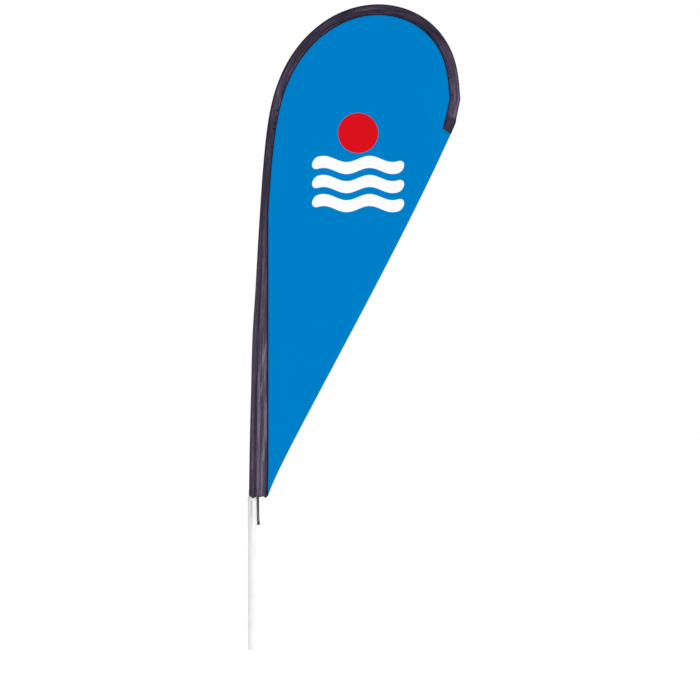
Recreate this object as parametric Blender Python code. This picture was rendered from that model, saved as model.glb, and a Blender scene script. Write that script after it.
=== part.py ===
"""Teardrop flag: a bent three-section pole in a fabric sleeve, standing in a tubular lower pole.

The origin is the middle of the lower pole's foot. +Z runs up the pole, +X points from the
pole to the flag's free edge, and the cloth lies in the XZ plane. Distances along the upper
pole are measured from the sleeve's mouth, and headings are angles from straight up.
"""
from math import atan2, ceil, cos, pi, radians, sin

import bmesh
import bpy
from mathutils import Vector

# Driving dimensions, in metres unless a name says otherwise.
GAP = 0.0003                    # between pieces that touch

TUBE_LENGTH = 0.5065            # lower pole
TUBE_RADIUS = 0.0150
TUBE_WALL = 0.0015

BUSH_LENGTH = 0.120             # liner in the lower pole's foot
BUSH_RECESS = 0.001
SPINDLE_BORE = 0.0082           # radius of its bore, for a base's 16 mm spindle

FLANGE_HEIGHT = 0.0148          # collar that closes the lower pole and carries the upper one
FLANGE_OVERHANG = 0.0005
FLANGE_BREAK = 0.0012           # rounded-off top edge
COLLAR_PLUG = 0.110
COLLAR_FLOOR = 0.004
DRAIN_RADIUS = 0.004
COLLAR_CLEARANCE = 0.0004       # around the upper pole

POLE_RADIUS = 0.0080            # upper pole at the sleeve's mouth
POLE_TAPER = 0.00234            # radius lost in each metre
POLE_LENGTH = 2.340             # from the mouth to the tip
LOWER_SECTION_END = 0.800
MIDDLE_SECTION_END = 1.600
LOWER_SECTION_WALL = 0.0018
MIDDLE_SECTION_WALL = 0.0015
FERRULE_LENGTH = 0.090
FERRULE_WALL = 0.0008
TIP_CAP_LENGTH = 0.022
TIP_CAP_WALL = 0.0010
END_PLUG_RIM = 0.003
END_PLUG_SPIGOT = 0.014

# How the pole bends under the flag's pull: distance along it, and curvature in 1/m.
BEND = (
    (0.00, 0.130),
    (0.30, 0.055),
    (1.00, 0.045),
    (1.20, 0.345),
    (1.40, 1.890),
    (1.70, 2.845),
    (2.05, 3.985),
    (2.20, 3.730),
    (2.34, 0.000),
)

FABRIC = 0.0008                 # sleeve's wall
SLEEVE_EASE = 0.0016            # from the pole to the sleeve's inner face
SEAM_WIDTH = 0.0015             # stitched shut beside the cavity
LIP_HALF = 0.0003               # half of the cavity's height at the seam
SEAM_X = 0.0556                 # the upright stretch of the seam
SEAM_LEAN = 0.0016              # how far the mouth pulls it in
SEAM_LEAN_HEIGHT = 0.100
NARROW_WIDTH = 0.0290           # sleeve's width above the upright stretch
WIDE_WIDTH = 0.0365             # and round the top
NARROW_UNTIL = 1.150
WIDE_FROM = 1.650
END_WIDTH = 0.0330
POINT_LENGTH = 0.005            # from the pole's tip to the sleeve's corner
TAIL_RUNS = (                   # straight runs past that corner: length, and turn into it
    (0.082, radians(16)),
    (0.038, radians(11)),
)
TAIL_CUT = radians(11)          # turn from the last run to the way the cut end faces
TAIL_HALF = 0.0006              # half of the closed tail's filling

BAND_HEIGHT = 0.023             # doubled hem round the mouth
BAND_THICKNESS = 0.0006
PATCH_LENGTH = 0.050            # reinforcement at the tail

PANEL_THICKNESS = 0.0008
FOOT_WIDTH = 0.0012             # blunt lower corner of the flag
FOOT_RISE = 0.0022
# The free edge is a curve that bows off the straight line from the top corner to the foot:
# at each end, how far its handle reaches as a share of that line, and the angle off it.
LEECH_TOP = (0.385, radians(-2.4))
LEECH_FOOT = (0.084, radians(-11.8))
LEECH_STEPS = 28

TAB_WIDTH = 0.012               # webbing tab that holds the cord inside the mouth
TAB_HEIGHT = 0.022
TAB_RISE = 0.0016
TAB_LEFT = 0.0130
TAB_BACK = 0.0020
CORD_RADIUS = 0.00200
CORD_SPACING = 0.008            # between the tube's points
STOPPER_SIZE = (0.0106, 0.0072, 0.0120)
STOPPER_CENTRE = (0.0220, 0.0, -0.0912)
STOPPER_BEVEL = 0.0016

# The cord's two strands, from the tab to the stopper, measured from the mouth's centre.
STRAND_ROUTES = {
    "cord_strand_left": (
        (0.0179, -0.0022, 0.0013),
        (0.0179, -0.0022, -0.0100),
        (0.0180, -0.0020, -0.0270),
        (0.0181, -0.0016, -0.0450),
        (0.0184, -0.0010, -0.0630),
        (0.0189, -0.0004, -0.0780),
        (0.0191, 0.0000, -0.0849),
    ),
    "cord_strand_right": (
        (0.0222, -0.0014, 0.0013),
        (0.0222, -0.0012, -0.0100),
        (0.0223, -0.0006, -0.0270),
        (0.0226, 0.0000, -0.0450),
        (0.0231, 0.0004, -0.0630),
        (0.0238, 0.0002, -0.0780),
        (0.0241, 0.0000, -0.0849),
    ),
}

# How finely the shapes are cut.
ROUND_SIDES = 32
POLE_SIDES = 12
ARC_STEPS = 6
WALK_STEP = 0.005
STRAIGHT_STEP = 0.100
CURVED_STEP = 0.040
CURVE_START = 1.000

# Worked out from the dimensions above.
BORE_RADIUS = TUBE_RADIUS - TUBE_WALL
MOUTH_Z = TUBE_LENGTH + GAP + FLANGE_HEIGHT + GAP
PLUG_BOTTOM = -GAP - FLANGE_HEIGHT - COLLAR_PLUG + COLLAR_FLOOR + GAP
SIDEWAYS = Vector((0.0, 1.0, 0.0))

# Colour, roughness and metallic value of each material.
MATERIALS = {
    "silver_tube": ((0.80, 0.80, 0.82), 0.25, 0.9),
    "white_plastic": ((0.82, 0.82, 0.81), 0.40, 0.0),
    "black_plastic": ((0.03, 0.03, 0.035), 0.45, 0.0),
    "glass_fibre": ((0.70, 0.71, 0.68), 0.35, 0.0),
    "ferrule_metal": ((0.62, 0.62, 0.64), 0.30, 1.0),
    "sleeve_cloth": ((0.070, 0.050, 0.075), 0.60, 0.0),
    "band_cloth": ((0.045, 0.033, 0.050), 0.65, 0.0),
    "flag_cloth": ((0.0, 0.216, 0.604), 0.65, 0.0),
    "webbing": ((0.035, 0.030, 0.040), 0.75, 0.0),
    "cord_cloth": ((0.060, 0.045, 0.062), 0.75, 0.0),
}


def make_material(name):
    """Principled material from the table above, made once."""
    found = bpy.data.materials.get(name)
    if found:
        return found
    colour, roughness, metallic = MATERIALS[name]
    material = bpy.data.materials.new(name)
    material.use_nodes = True
    shader = material.node_tree.nodes["Principled BSDF"]
    shader.inputs["Base Color"].default_value = (*colour, 1.0)
    shader.inputs["Roughness"].default_value = roughness
    shader.inputs["Metallic"].default_value = metallic
    material.diffuse_color = (*colour, 1.0)
    return material


def make_object(name, bm, material, parent=None, location=(0.0, 0.0, 0.0)):
    """Turn a bmesh into a named, smooth-shaded object."""
    bmesh.ops.recalc_face_normals(bm, faces=bm.faces)
    mesh = bpy.data.meshes.new(name)
    bm.to_mesh(mesh)
    bm.free()
    mesh.shade_smooth()
    mesh.set_sharp_from_angle(angle=radians(40))
    piece = bpy.data.objects.new(name, mesh)
    piece.data.materials.append(make_material(material))
    piece.parent = parent
    piece.location = location
    bpy.context.scene.collection.objects.link(piece)
    return piece


def make_empty(name, location, parent=None):
    """An axis that moving pieces hang from."""
    empty = bpy.data.objects.new(name, None)
    empty.location = location
    empty.parent = parent
    bpy.context.scene.collection.objects.link(empty)
    return empty


def turned(name, profile, material, parent=None, location=(0.0, 0.0, 0.0)):
    """Spin a closed profile of (radius, height) points round Z."""
    bm = bmesh.new()
    corners = [bm.verts.new((radius, 0.0, height)) for radius, height in profile]
    for first, second in zip(corners, corners[1:] + corners[:1]):
        bm.edges.new((first, second))
    bmesh.ops.spin(
        bm,
        geom=bm.verts[:] + bm.edges[:],
        cent=(0.0, 0.0, 0.0),
        axis=(0.0, 0.0, 1.0),
        angle=2 * pi,
        steps=ROUND_SIDES,
        use_merge=True,
    )
    bmesh.ops.remove_doubles(bm, verts=bm.verts, dist=1e-6)
    return make_object(name, bm, material, parent, location)


def skin_rings(bm, rings, closed=True):
    """Skin a row of rings, every piece split along the same diagonal so that walls stay even."""
    loops = [[bm.verts.new(point) for point in ring] for ring in rings]
    for first, second in zip(loops, loops[1:]):
        for index in range(0 if closed else 1, len(first)):
            bm.faces.new((first[index - 1], first[index], second[index]))
            bm.faces.new((first[index - 1], second[index], second[index - 1]))
    return loops


def join_loops(bm, first, second, closed=True):
    for index in range(0 if closed else 1, len(first)):
        bm.faces.new((first[index - 1], first[index], second[index], second[index - 1]))


def loft(name, outer, material, parent, inner=(), through=False):
    """Solid through the outer rings; inner rings hollow it from the first ring's end.

    The hollow is blind unless it goes through.
    """
    bm = bmesh.new()
    outer_loops = skin_rings(bm, outer)
    inner_loops = skin_rings(bm, inner)
    if not inner:
        bm.faces.new(outer_loops[0])
        bm.faces.new(outer_loops[-1])
        return make_object(name, bm, material, parent)
    join_loops(bm, outer_loops[0], inner_loops[0])
    if through:
        join_loops(bm, outer_loops[-1], inner_loops[-1])
    else:
        bm.faces.new(outer_loops[-1])
        bm.faces.new(inner_loops[-1])
    return make_object(name, bm, material, parent)


# The pole's bent line ------------------------------------------------------------------

def direction(heading):
    return Vector((sin(heading), 0.0, cos(heading)))


def outside(heading):
    """Square to a heading, on the bend's outer side."""
    return Vector((-cos(heading), 0.0, sin(heading)))


def blend(value, start, end, low, high):
    """Straight-line change from low at start to high at end, level beyond both."""
    share = min(max((value - start) / (end - start), 0.0), 1.0)
    return low + share * (high - low)


def curvature(distance):
    for (start, low), (end, high) in zip(BEND, BEND[1:]):
        if distance <= end:
            return blend(distance, start, end, low, high)
    return BEND[-1][1]


def pole_point(distance):
    """Centre and heading of the pole this far past the mouth; below the mouth it is upright."""
    if distance <= 0.0:
        return Vector((0.0, 0.0, distance)), 0.0
    steps = ceil(distance / WALK_STEP)
    length = distance / steps
    centre = Vector((0.0, 0.0, 0.0))
    heading = 0.0
    for index in range(steps):
        turn = curvature((index + 0.5) * length) * length
        centre += length * direction(heading + turn / 2)
        heading += turn
    return centre, heading


def evenly(start, end, step):
    count = max(1, round((end - start) / step))
    return [start + (end - start) * index / count for index in range(count)]


def make_frames():
    """Distance, centre and outward direction where the pole's and the sleeve's pieces bend.

    All of them share these frames, so that one nests in the next with an even gap.
    """
    distances = [PLUG_BOTTOM]
    distances += evenly(0.0, CURVE_START, STRAIGHT_STEP)
    distances += evenly(CURVE_START, POLE_LENGTH, CURVED_STEP)
    frames = []
    for distance in distances + [POLE_LENGTH]:
        centre, heading = pole_point(distance)
        frames.append((distance, centre, outside(heading)))
    centre = centre + POINT_LENGTH * direction(heading)
    distance = POLE_LENGTH + POINT_LENGTH
    for length, turn in TAIL_RUNS:
        frames.append((distance, centre, outside(heading + turn / 2)))
        heading += turn
        centre = centre + length * direction(heading)
        distance += length
    frames.append((distance, centre, outside(heading + TAIL_CUT)))
    return frames


FRAMES = make_frames()
TAIL_END = FRAMES[-1][0]
PATCH_START = TAIL_END - PATCH_LENGTH


def frame_at(distance):
    """Centre and outward direction anywhere along the line, straight between two frames."""
    for (start, centre_a, out_a), (end, centre_b, out_b) in zip(FRAMES, FRAMES[1:]):
        if distance <= end:
            break
    share = (distance - start) / (end - start)
    return centre_a.lerp(centre_b, share), out_a.lerp(out_b, share)


def stations(start, end):
    """Where a piece from start to end has its rings: at its ends, and wherever others bend or end."""
    shared = sorted([frame[0] for frame in FRAMES] + [BAND_HEIGHT, PATCH_START])
    return [start] + [place for place in shared if start + GAP < place < end - GAP] + [end]


def pole_radius(distance):
    return POLE_RADIUS - POLE_TAPER * max(distance, 0.0)


def round_ring(distance, radius):
    centre, outward = frame_at(distance)
    ring = []
    for index in range(POLE_SIDES):
        angle = 2 * pi * index / POLE_SIDES
        ring.append(centre + radius * (cos(angle) * outward + sin(angle) * SIDEWAYS))
    return ring


# Lower pole ----------------------------------------------------------------------------

def make_lower_pole():
    turned(
        "lower_pole_tube",
        (
            (BORE_RADIUS, 0.0),
            (TUBE_RADIUS, 0.0),
            (TUBE_RADIUS, TUBE_LENGTH),
            (BORE_RADIUS, TUBE_LENGTH),
        ),
        "silver_tube",
    )
    turned(
        "foot_bush",
        (
            (SPINDLE_BORE, 0.0),
            (BORE_RADIUS - GAP, 0.0),
            (BORE_RADIUS - GAP, BUSH_LENGTH),
            (SPINDLE_BORE, BUSH_LENGTH),
        ),
        "black_plastic",
        location=(0.0, 0.0, BUSH_RECESS),
    )


def make_collar(parent):
    """Plug in the lower pole's top, with a socket for the upper pole and a flange on the rim."""
    socket = POLE_RADIUS + COLLAR_CLEARANCE
    flange = TUBE_RADIUS + FLANGE_OVERHANG
    turned(
        "swivel_collar",
        (
            (DRAIN_RADIUS, -COLLAR_PLUG),
            (BORE_RADIUS - GAP, -COLLAR_PLUG),
            (BORE_RADIUS - GAP, 0.0),
            (flange, 0.0),
            (flange, FLANGE_HEIGHT - FLANGE_BREAK),
            (flange - FLANGE_BREAK, FLANGE_HEIGHT),
            (socket, FLANGE_HEIGHT),
            (socket, COLLAR_FLOOR - COLLAR_PLUG),
            (DRAIN_RADIUS, COLLAR_FLOOR - COLLAR_PLUG),
        ),
        "white_plastic",
        parent,
        (0.0, 0.0, GAP),
    )


# Upper pole ----------------------------------------------------------------------------

def make_pole_tube(name, start, end, wall, parent):
    """Hollow pole section, open at both ends."""
    places = stations(start, end)
    outer = [round_ring(place, pole_radius(place)) for place in places]
    inner = [round_ring(place, pole_radius(place) - wall) for place in places]
    loft(name, outer, "glass_fibre", parent, inner, through=True)


def make_ferrule(name, joint, parent):
    """Metal sleeve over the joint of two pole sections."""
    places = stations(joint - FERRULE_LENGTH / 2, joint + FERRULE_LENGTH / 2)
    outer = [round_ring(place, pole_radius(place) + GAP + FERRULE_WALL) for place in places]
    inner = [round_ring(place, pole_radius(place) + GAP) for place in places]
    loft(name, outer, "ferrule_metal", parent, inner, through=True)


def make_end_plug(parent):
    """Plastic plug in the lower section's end: a rim, and a spigot inside the tube."""
    rim_top = PLUG_BOTTOM + END_PLUG_RIM
    spigot = POLE_RADIUS - LOWER_SECTION_WALL - GAP
    rings = [
        round_ring(PLUG_BOTTOM, POLE_RADIUS),
        round_ring(rim_top, POLE_RADIUS),
        round_ring(rim_top, spigot),
        round_ring(rim_top + END_PLUG_SPIGOT, spigot),
    ]
    loft("pole_end_plug", rings, "black_plastic", parent)
    return rim_top + GAP


def make_top_rod(start, parent):
    """Solid tapering rod, and the cap on its tip."""
    end = POLE_LENGTH - TIP_CAP_WALL - GAP
    rings = [round_ring(place, pole_radius(place)) for place in stations(start, end)]
    loft("top_rod", rings, "glass_fibre", parent)
    mouth = POLE_LENGTH - TIP_CAP_LENGTH
    floor = POLE_LENGTH - TIP_CAP_WALL
    bore = [round_ring(place, pole_radius(place) + GAP) for place in stations(mouth, floor)]
    wall = GAP + TIP_CAP_WALL
    shoulder = floor - TIP_CAP_WALL
    skin = [round_ring(place, pole_radius(place) + wall) for place in stations(mouth, shoulder)]
    skin.append(round_ring(POLE_LENGTH, pole_radius(POLE_LENGTH)))
    loft("tip_cap", skin, "black_plastic", parent, bore)


def make_upper_pole(parent):
    tube_start = make_end_plug(parent)
    joint_gap = GAP / 2
    make_pole_tube(
        "lower_pole_section",
        tube_start,
        LOWER_SECTION_END - joint_gap,
        LOWER_SECTION_WALL,
        parent,
    )
    make_ferrule("lower_ferrule", LOWER_SECTION_END, parent)
    make_pole_tube(
        "middle_pole_section",
        LOWER_SECTION_END + joint_gap,
        MIDDLE_SECTION_END - joint_gap,
        MIDDLE_SECTION_WALL,
        parent,
    )
    make_ferrule("upper_ferrule", MIDDLE_SECTION_END, parent)
    make_top_rod(MIDDLE_SECTION_END + joint_gap, parent)


# Sleeve --------------------------------------------------------------------------------

def cavity_reach(distance):
    """From the pole's centre to the sleeve's inner face, on the bend's outer side."""
    return pole_radius(min(distance, POLE_LENGTH)) + SLEEVE_EASE


def cavity_depth(distance):
    """Half of the cavity's depth beside the pole; past the pole's tip the sleeve lies flat."""
    corner = POLE_LENGTH + POINT_LENGTH
    flat_from = corner + TAIL_RUNS[0][0]
    return blend(distance, corner, flat_from, cavity_reach(distance), TAIL_HALF)


def sleeve_width(distance):
    width = blend(distance, NARROW_UNTIL, WIDE_FROM, NARROW_WIDTH, WIDE_WIDTH)
    return blend(distance, TAIL_END - TAIL_RUNS[-1][0], TAIL_END, width, END_WIDTH)


def lip_distance(distance):
    """From the pole's centre to the seam: upright low down, then following the pole."""
    centre, outward = frame_at(distance)
    along = sleeve_width(distance) - cavity_reach(distance) - FABRIC
    if outward.x > -0.5:
        return along
    seam = blend(centre.z, 0.0, SEAM_LEAN_HEIGHT, SEAM_X - SEAM_LEAN, SEAM_X)
    return max(along, (seam - centre.x) / -outward.x)


def sleeve_arc(distance, skin):
    """Half round over the pole, `skin` outside the cavity."""
    centre, outward = frame_at(distance)
    across = (cavity_reach(distance) + skin) * outward
    deep = (cavity_depth(distance) + skin) * SIDEWAYS
    angles = [pi / 2 - pi * index / ARC_STEPS for index in range(ARC_STEPS + 1)]
    return [centre + cos(angle) * across + sin(angle) * deep for angle in angles]


def lip_points(distance, skin, inset):
    """The two layers' edges at the seam, the near layer's first."""
    centre, outward = frame_at(distance)
    edge = centre - (lip_distance(distance) - inset) * outward
    half = (LIP_HALF + skin) * SIDEWAYS
    return [edge - half, edge + half]


def make_sleeve(parent):
    """Sock over the pole: open at the mouth, closed past the pole's tip."""
    cavity = []
    for place in stations(0.0, POLE_LENGTH + POINT_LENGTH - FABRIC):
        cavity.append(sleeve_arc(place, 0.0) + lip_points(place, 0.0, SEAM_WIDTH))
    cloth = []
    for place in stations(0.0, TAIL_END):
        cloth.append(sleeve_arc(place, FABRIC) + lip_points(place, FABRIC, 0.0))
    loft("pole_sleeve", cloth, "sleeve_cloth", parent, cavity)


def make_wrap(name, start, end, material, parent):
    """Strip folded round the sleeve's outside, from one layer's seam edge to the other's."""
    bm = bmesh.new()
    sides = []
    for skin in (FABRIC + GAP + BAND_THICKNESS, FABRIC + GAP):
        rings = []
        for place in stations(start, end):
            near, far = lip_points(place, skin, 0.0)
            rings.append([far] + sleeve_arc(place, skin) + [near])
        sides.append(skin_rings(bm, rings, closed=False))
    outer, inner = sides
    for edge in (0, -1):
        join_loops(bm, outer[edge], inner[edge], closed=False)
        seam_edges = [[loop[edge] for loop in side] for side in sides]
        join_loops(bm, *seam_edges, closed=False)
    make_object(name, bm, material, parent)


# Flag ----------------------------------------------------------------------------------

def leech_points(top, foot):
    """The free edge: one cubic curve from the top corner to the foot."""
    chord = foot - top
    straight = atan2(chord.x, chord.z)
    first = top + LEECH_TOP[0] * chord.length * direction(straight + LEECH_TOP[1])
    second = foot - LEECH_FOOT[0] * chord.length * direction(straight + LEECH_FOOT[1])
    points = []
    for index in range(LEECH_STEPS + 1):
        t = index / LEECH_STEPS
        u = 1.0 - t
        points.append(u**3 * top + 3 * u * u * t * first + 3 * u * t * t * second + t**3 * foot)
    return points


def make_panel(parent):
    """The printed cloth, a plate whose edge follows the sleeve's seam."""
    outline = []
    for place in stations(FOOT_RISE, TAIL_END):
        centre, outward = frame_at(place)
        outline.append(centre - (lip_distance(place) + GAP) * outward)
    foot = outline[0] + Vector((FOOT_WIDTH, 0.0, 0.0))
    below = GAP * SIDEWAYS.cross(outward)
    outline[-1] += below
    corner = centre + (cavity_reach(TAIL_END) + FABRIC) * outward + below
    outline += leech_points(corner, foot)
    bm = bmesh.new()
    front = PANEL_THICKNESS / 2 * SIDEWAYS
    face = bm.faces.new([bm.verts.new(point - front) for point in outline])
    pushed = bmesh.ops.extrude_face_region(bm, geom=[face], use_keep_orig=True)
    back = [item for item in pushed["geom"] if isinstance(item, bmesh.types.BMVert)]
    bmesh.ops.translate(bm, verts=back, vec=2 * front)
    make_object("flag_panel", bm, "flag_cloth", parent)


# Cord ----------------------------------------------------------------------------------

def make_tab(parent):
    """Folded webbing inside the mouth, lying against the near layer of the sleeve."""
    right = TAB_LEFT + TAB_WIDTH
    lip = lip_distance(0.0) - SEAM_WIDTH
    edges = [TAB_LEFT, right]
    near = [blend(x, 0.0, lip, -cavity_depth(0.0), -LIP_HALF) + 2 * GAP for x in edges]
    rings = []
    for height in (TAB_RISE, TAB_RISE + TAB_HEIGHT):
        rings.append([
            Vector((TAB_LEFT, near[0], height)),
            Vector((right, near[1], height)),
            Vector((right, TAB_BACK, height)),
            Vector((TAB_LEFT, TAB_BACK, height)),
        ])
    loft("cord_tab", rings, "webbing", parent)


def smooth_route(route, spacing):
    """Points at an even spacing on a smooth curve through the route's points."""
    points = [Vector(point) for point in route]
    points = [2 * points[0] - points[1]] + points + [2 * points[-1] - points[-2]]
    samples = []
    for before, start, end, after in zip(points, points[1:], points[2:], points[3:]):
        count = max(1, round((end - start).length / spacing))
        for index in range(count):
            t = index / count
            bend = (end - before) * t
            bend += (2 * before - 5 * start + 4 * end - after) * t * t
            bend += (3 * start - before - 3 * end + after) * t**3
            samples.append(start + bend / 2)
    return samples + [points[-2]]


def make_strand(name, route, parent):
    curve = bpy.data.curves.new(name, "CURVE")
    curve.dimensions = "3D"
    curve.bevel_depth = CORD_RADIUS
    curve.bevel_resolution = 2
    curve.use_fill_caps = True
    samples = smooth_route(route, CORD_SPACING)
    spline = curve.splines.new("POLY")
    spline.points.add(len(samples) - 1)
    for point, sample in zip(spline.points, samples):
        point.co = (*sample, 1.0)
    curve.materials.append(make_material("cord_cloth"))
    strand = bpy.data.objects.new(name, curve)
    strand.parent = parent
    bpy.context.scene.collection.objects.link(strand)


def make_stopper(parent):
    bm = bmesh.new()
    bmesh.ops.create_cube(bm, size=1.0)
    bmesh.ops.scale(bm, vec=STOPPER_SIZE, verts=bm.verts)
    bmesh.ops.bevel(
        bm,
        geom=bm.edges[:],
        offset=STOPPER_BEVEL,
        segments=2,
        profile=0.5,
        affect="EDGES",
        material=-1,
    )
    make_object("cord_stopper", bm, "black_plastic", parent, STOPPER_CENTRE)


def main():
    for old in list(bpy.data.objects):
        bpy.data.objects.remove(old)
    make_lower_pole()
    swivel_axis = make_empty("swivel_axis", (0.0, 0.0, TUBE_LENGTH))
    make_collar(swivel_axis)
    lift_axis = make_empty("lift_axis", (0.0, 0.0, MOUTH_Z - TUBE_LENGTH), swivel_axis)
    make_upper_pole(lift_axis)
    make_sleeve(lift_axis)
    make_wrap("mouth_band", 0.0, BAND_HEIGHT, "band_cloth", lift_axis)
    make_wrap("end_patch", PATCH_START, TAIL_END, "band_cloth", lift_axis)
    make_panel(lift_axis)
    make_tab(lift_axis)
    for name, route in STRAND_ROUTES.items():
        make_strand(name, route, lift_axis)
    make_stopper(lift_axis)


main()
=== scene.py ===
from math import atan2, copysign, cos, exp, hypot, pi, radians, sin, sqrt, tau

import bmesh
import bpy
from mathutils import Matrix, Vector, noise


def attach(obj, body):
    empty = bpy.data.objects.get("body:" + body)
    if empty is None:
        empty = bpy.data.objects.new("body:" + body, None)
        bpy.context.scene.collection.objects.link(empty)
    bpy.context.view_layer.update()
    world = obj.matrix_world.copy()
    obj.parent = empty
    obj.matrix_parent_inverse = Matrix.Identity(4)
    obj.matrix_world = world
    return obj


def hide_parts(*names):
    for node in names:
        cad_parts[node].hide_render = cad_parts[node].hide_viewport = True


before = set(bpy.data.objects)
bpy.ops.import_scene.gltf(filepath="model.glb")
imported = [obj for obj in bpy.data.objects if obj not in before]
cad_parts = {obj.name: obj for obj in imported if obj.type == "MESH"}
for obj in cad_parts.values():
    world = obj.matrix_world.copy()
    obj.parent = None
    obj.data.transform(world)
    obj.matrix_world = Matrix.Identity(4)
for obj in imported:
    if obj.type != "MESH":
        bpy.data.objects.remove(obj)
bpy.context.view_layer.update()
scene = bpy.context.scene
print("frame loaded")

# Camera, light and surroundings. Lengths are in metres everywhere.

studio = {
    "lookX": 0.3344,
    "lookZ": 1.0217,
    "viewWidth": 2.388,
    "cameraDistance": 12.0,
    "sensor": 36.0,
    "farthest": 200.0,
    "fillStrength": 0.60,
    "keyStrength": 1.15,
    "keyTurn": radians(52),     # round to the flag's free side
    "keyHeight": radians(24),
    "keySpread": radians(34),
    "keyDistance": 6.0,
    "floorGlow": 0.42,
    "floorSize": 60.0,
    "floorDrop": 0.0002,
}

def makeCamera():
    data = bpy.data.cameras.new("studioCamera")
    data.sensor_width = studio["sensor"]
    data.lens = studio["sensor"] * studio["cameraDistance"] / studio["viewWidth"]
    data.clip_end = studio["farthest"]
    camera = bpy.data.objects.new("studioCamera", data)
    camera.location = (studio["lookX"], -studio["cameraDistance"], studio["lookZ"])
    camera.rotation_euler = (pi / 2, 0.0, 0.0)
    scene.collection.objects.link(camera)
    scene.camera = camera

makeCamera()

# The line the upper pole follows. Distances start at the sleeve's mouth.

pole = {
    "mouthHeight": 0.5219,
    "radius": 0.0080,
    "taper": 0.00234,           # radius lost in each metre
    "length": 2.340,
    "step": 0.005,
    "bend": (                   # distance, curvature in 1/m
        (0.00, 0.130),
        (0.30, 0.055),
        (1.00, 0.045),
        (1.20, 0.345),
        (1.40, 1.890),
        (1.70, 2.845),
        (2.05, 3.985),
        (2.20, 3.730),
        (2.34, 0.000),
    ),
    "point": 0.005,             # from the tip to the sleeve's corner
    "tailRuns": ((0.082, radians(16)), (0.038, radians(11))),
    "tailCut": radians(11),
}
sideways = Vector((0.0, 1.0, 0.0))

def headingVector(heading):
    return Vector((sin(heading), 0.0, cos(heading)))

def outwardVector(heading):
    return Vector((-cos(heading), 0.0, sin(heading)))

def ramp(value, start, end, low, high):
    share = min(max((value - start) / (end - start), 0.0), 1.0)
    return low + share * (high - low)

def softRamp(value, start, end, low, high):
    share = ramp(value, start, end, 0.0, 1.0)
    return low + share * share * (3 - 2 * share) * (high - low)

def hump(value, centre, width):
    return exp(-((value - centre) / width) ** 2)

def readOff(table, distance):
    for (start, low), (end, high) in zip(table, table[1:]):
        if distance <= end:
            return ramp(distance, start, end, low, high)
    return table[-1][1]

def walkPole():
    step = pole["step"]
    place = Vector((0.0, 0.0, pole["mouthHeight"]))
    heading = 0.0
    line = [(0.0, place, outwardVector(heading))]
    for index in range(round(pole["length"] / step)):
        turn = readOff(pole["bend"], (index + 0.5) * step) * step
        place = place + step * headingVector(heading + turn / 2)
        heading += turn
        line.append(((index + 1) * step, place, outwardVector(heading)))
    distance = pole["length"] + pole["point"]
    place = place + pole["point"] * headingVector(heading)
    for length, turn in pole["tailRuns"]:
        line.append((distance, place, outwardVector(heading + turn / 2)))
        heading += turn
        place = place + length * headingVector(heading)
        distance += length
    line.append((distance, place, outwardVector(heading + pole["tailCut"])))
    return line

poleLine = walkPole()
tailEnd = poleLine[-1][0]
corner = pole["length"] + pole["point"]     # where the sleeve turns down past the tip
tailBend = corner + pole["tailRuns"][0][0]

def lineFrame(distance):
    if distance <= 0.0:
        return Vector((0.0, 0.0, pole["mouthHeight"] + distance)), outwardVector(0.0)
    index = min(int(distance / pole["step"] + 1e-6), len(poleLine) - 2)
    if distance >= pole["length"]:
        index = len(poleLine) - 4
        while index < len(poleLine) - 2 and distance > poleLine[index + 1][0]:
            index += 1
    start, placeA, outA = poleLine[index]
    end, placeB, outB = poleLine[index + 1]
    share = (distance - start) / (end - start)
    return placeA.lerp(placeB, share), outA.lerp(outB, share)

def poleRadius(distance):
    return pole["radius"] - pole["taper"] * min(max(distance, 0.0), pole["length"])

def evenly(start, end, step):
    count = max(1, round((end - start) / step))
    return [start + (end - start) * index / count for index in range(count + 1)]

# Shader helpers.

def joinValue(tree, value, socket):
    if value is None:
        return
    if isinstance(value, bpy.types.NodeSocket):
        tree.links.new(value, socket)
    else:
        socket.default_value = value

def addNode(tree, kind, *inputs, **settings):
    node = tree.nodes.new("ShaderNode" + kind)
    for key, value in settings.items():
        setattr(node, key, value)
    for socket, value in zip(node.inputs, inputs):
        joinValue(tree, value, socket)
    return node

def compute(tree, operation, *inputs):
    return addNode(tree, "Math", *inputs, operation=operation).outputs[0]

def opaque(colour):
    return (*colour, 1.0) if isinstance(colour, tuple) else colour

def mixColour(tree, factor, first, second, blend="MIX"):
    node = addNode(tree, "Mix", data_type="RGBA", blend_type=blend)
    joinValue(tree, factor, node.inputs[0])
    joinValue(tree, opaque(first), node.inputs[6])      # the colour sockets come after the others
    joinValue(tree, opaque(second), node.inputs[7])
    return node.outputs[2]

def mixFloat(tree, factor, first, second):
    node = addNode(tree, "Mix", data_type="FLOAT")
    joinValue(tree, factor, node.inputs[0])
    joinValue(tree, first, node.inputs[2])
    joinValue(tree, second, node.inputs[3])
    return node.outputs[0]

def remap(tree, value, low, high, newLow, newHigh):
    node = addNode(tree, "MapRange", value, low, high, newLow, newHigh, clamp=True)
    return node.outputs[0]

def stretched(tree, vector, scale):
    return addNode(tree, "VectorMath", vector, scale, operation="MULTIPLY").outputs[0]

def cloud(tree, vector, scale, detail=3.0, rough=0.5):
    node = addNode(tree, "TexNoise", noise_dimensions="3D")
    joinValue(tree, vector, node.inputs["Vector"])
    joinValue(tree, scale, node.inputs["Scale"])
    node.inputs["Detail"].default_value = detail
    node.inputs["Roughness"].default_value = rough
    return node.outputs["Fac"]

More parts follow.
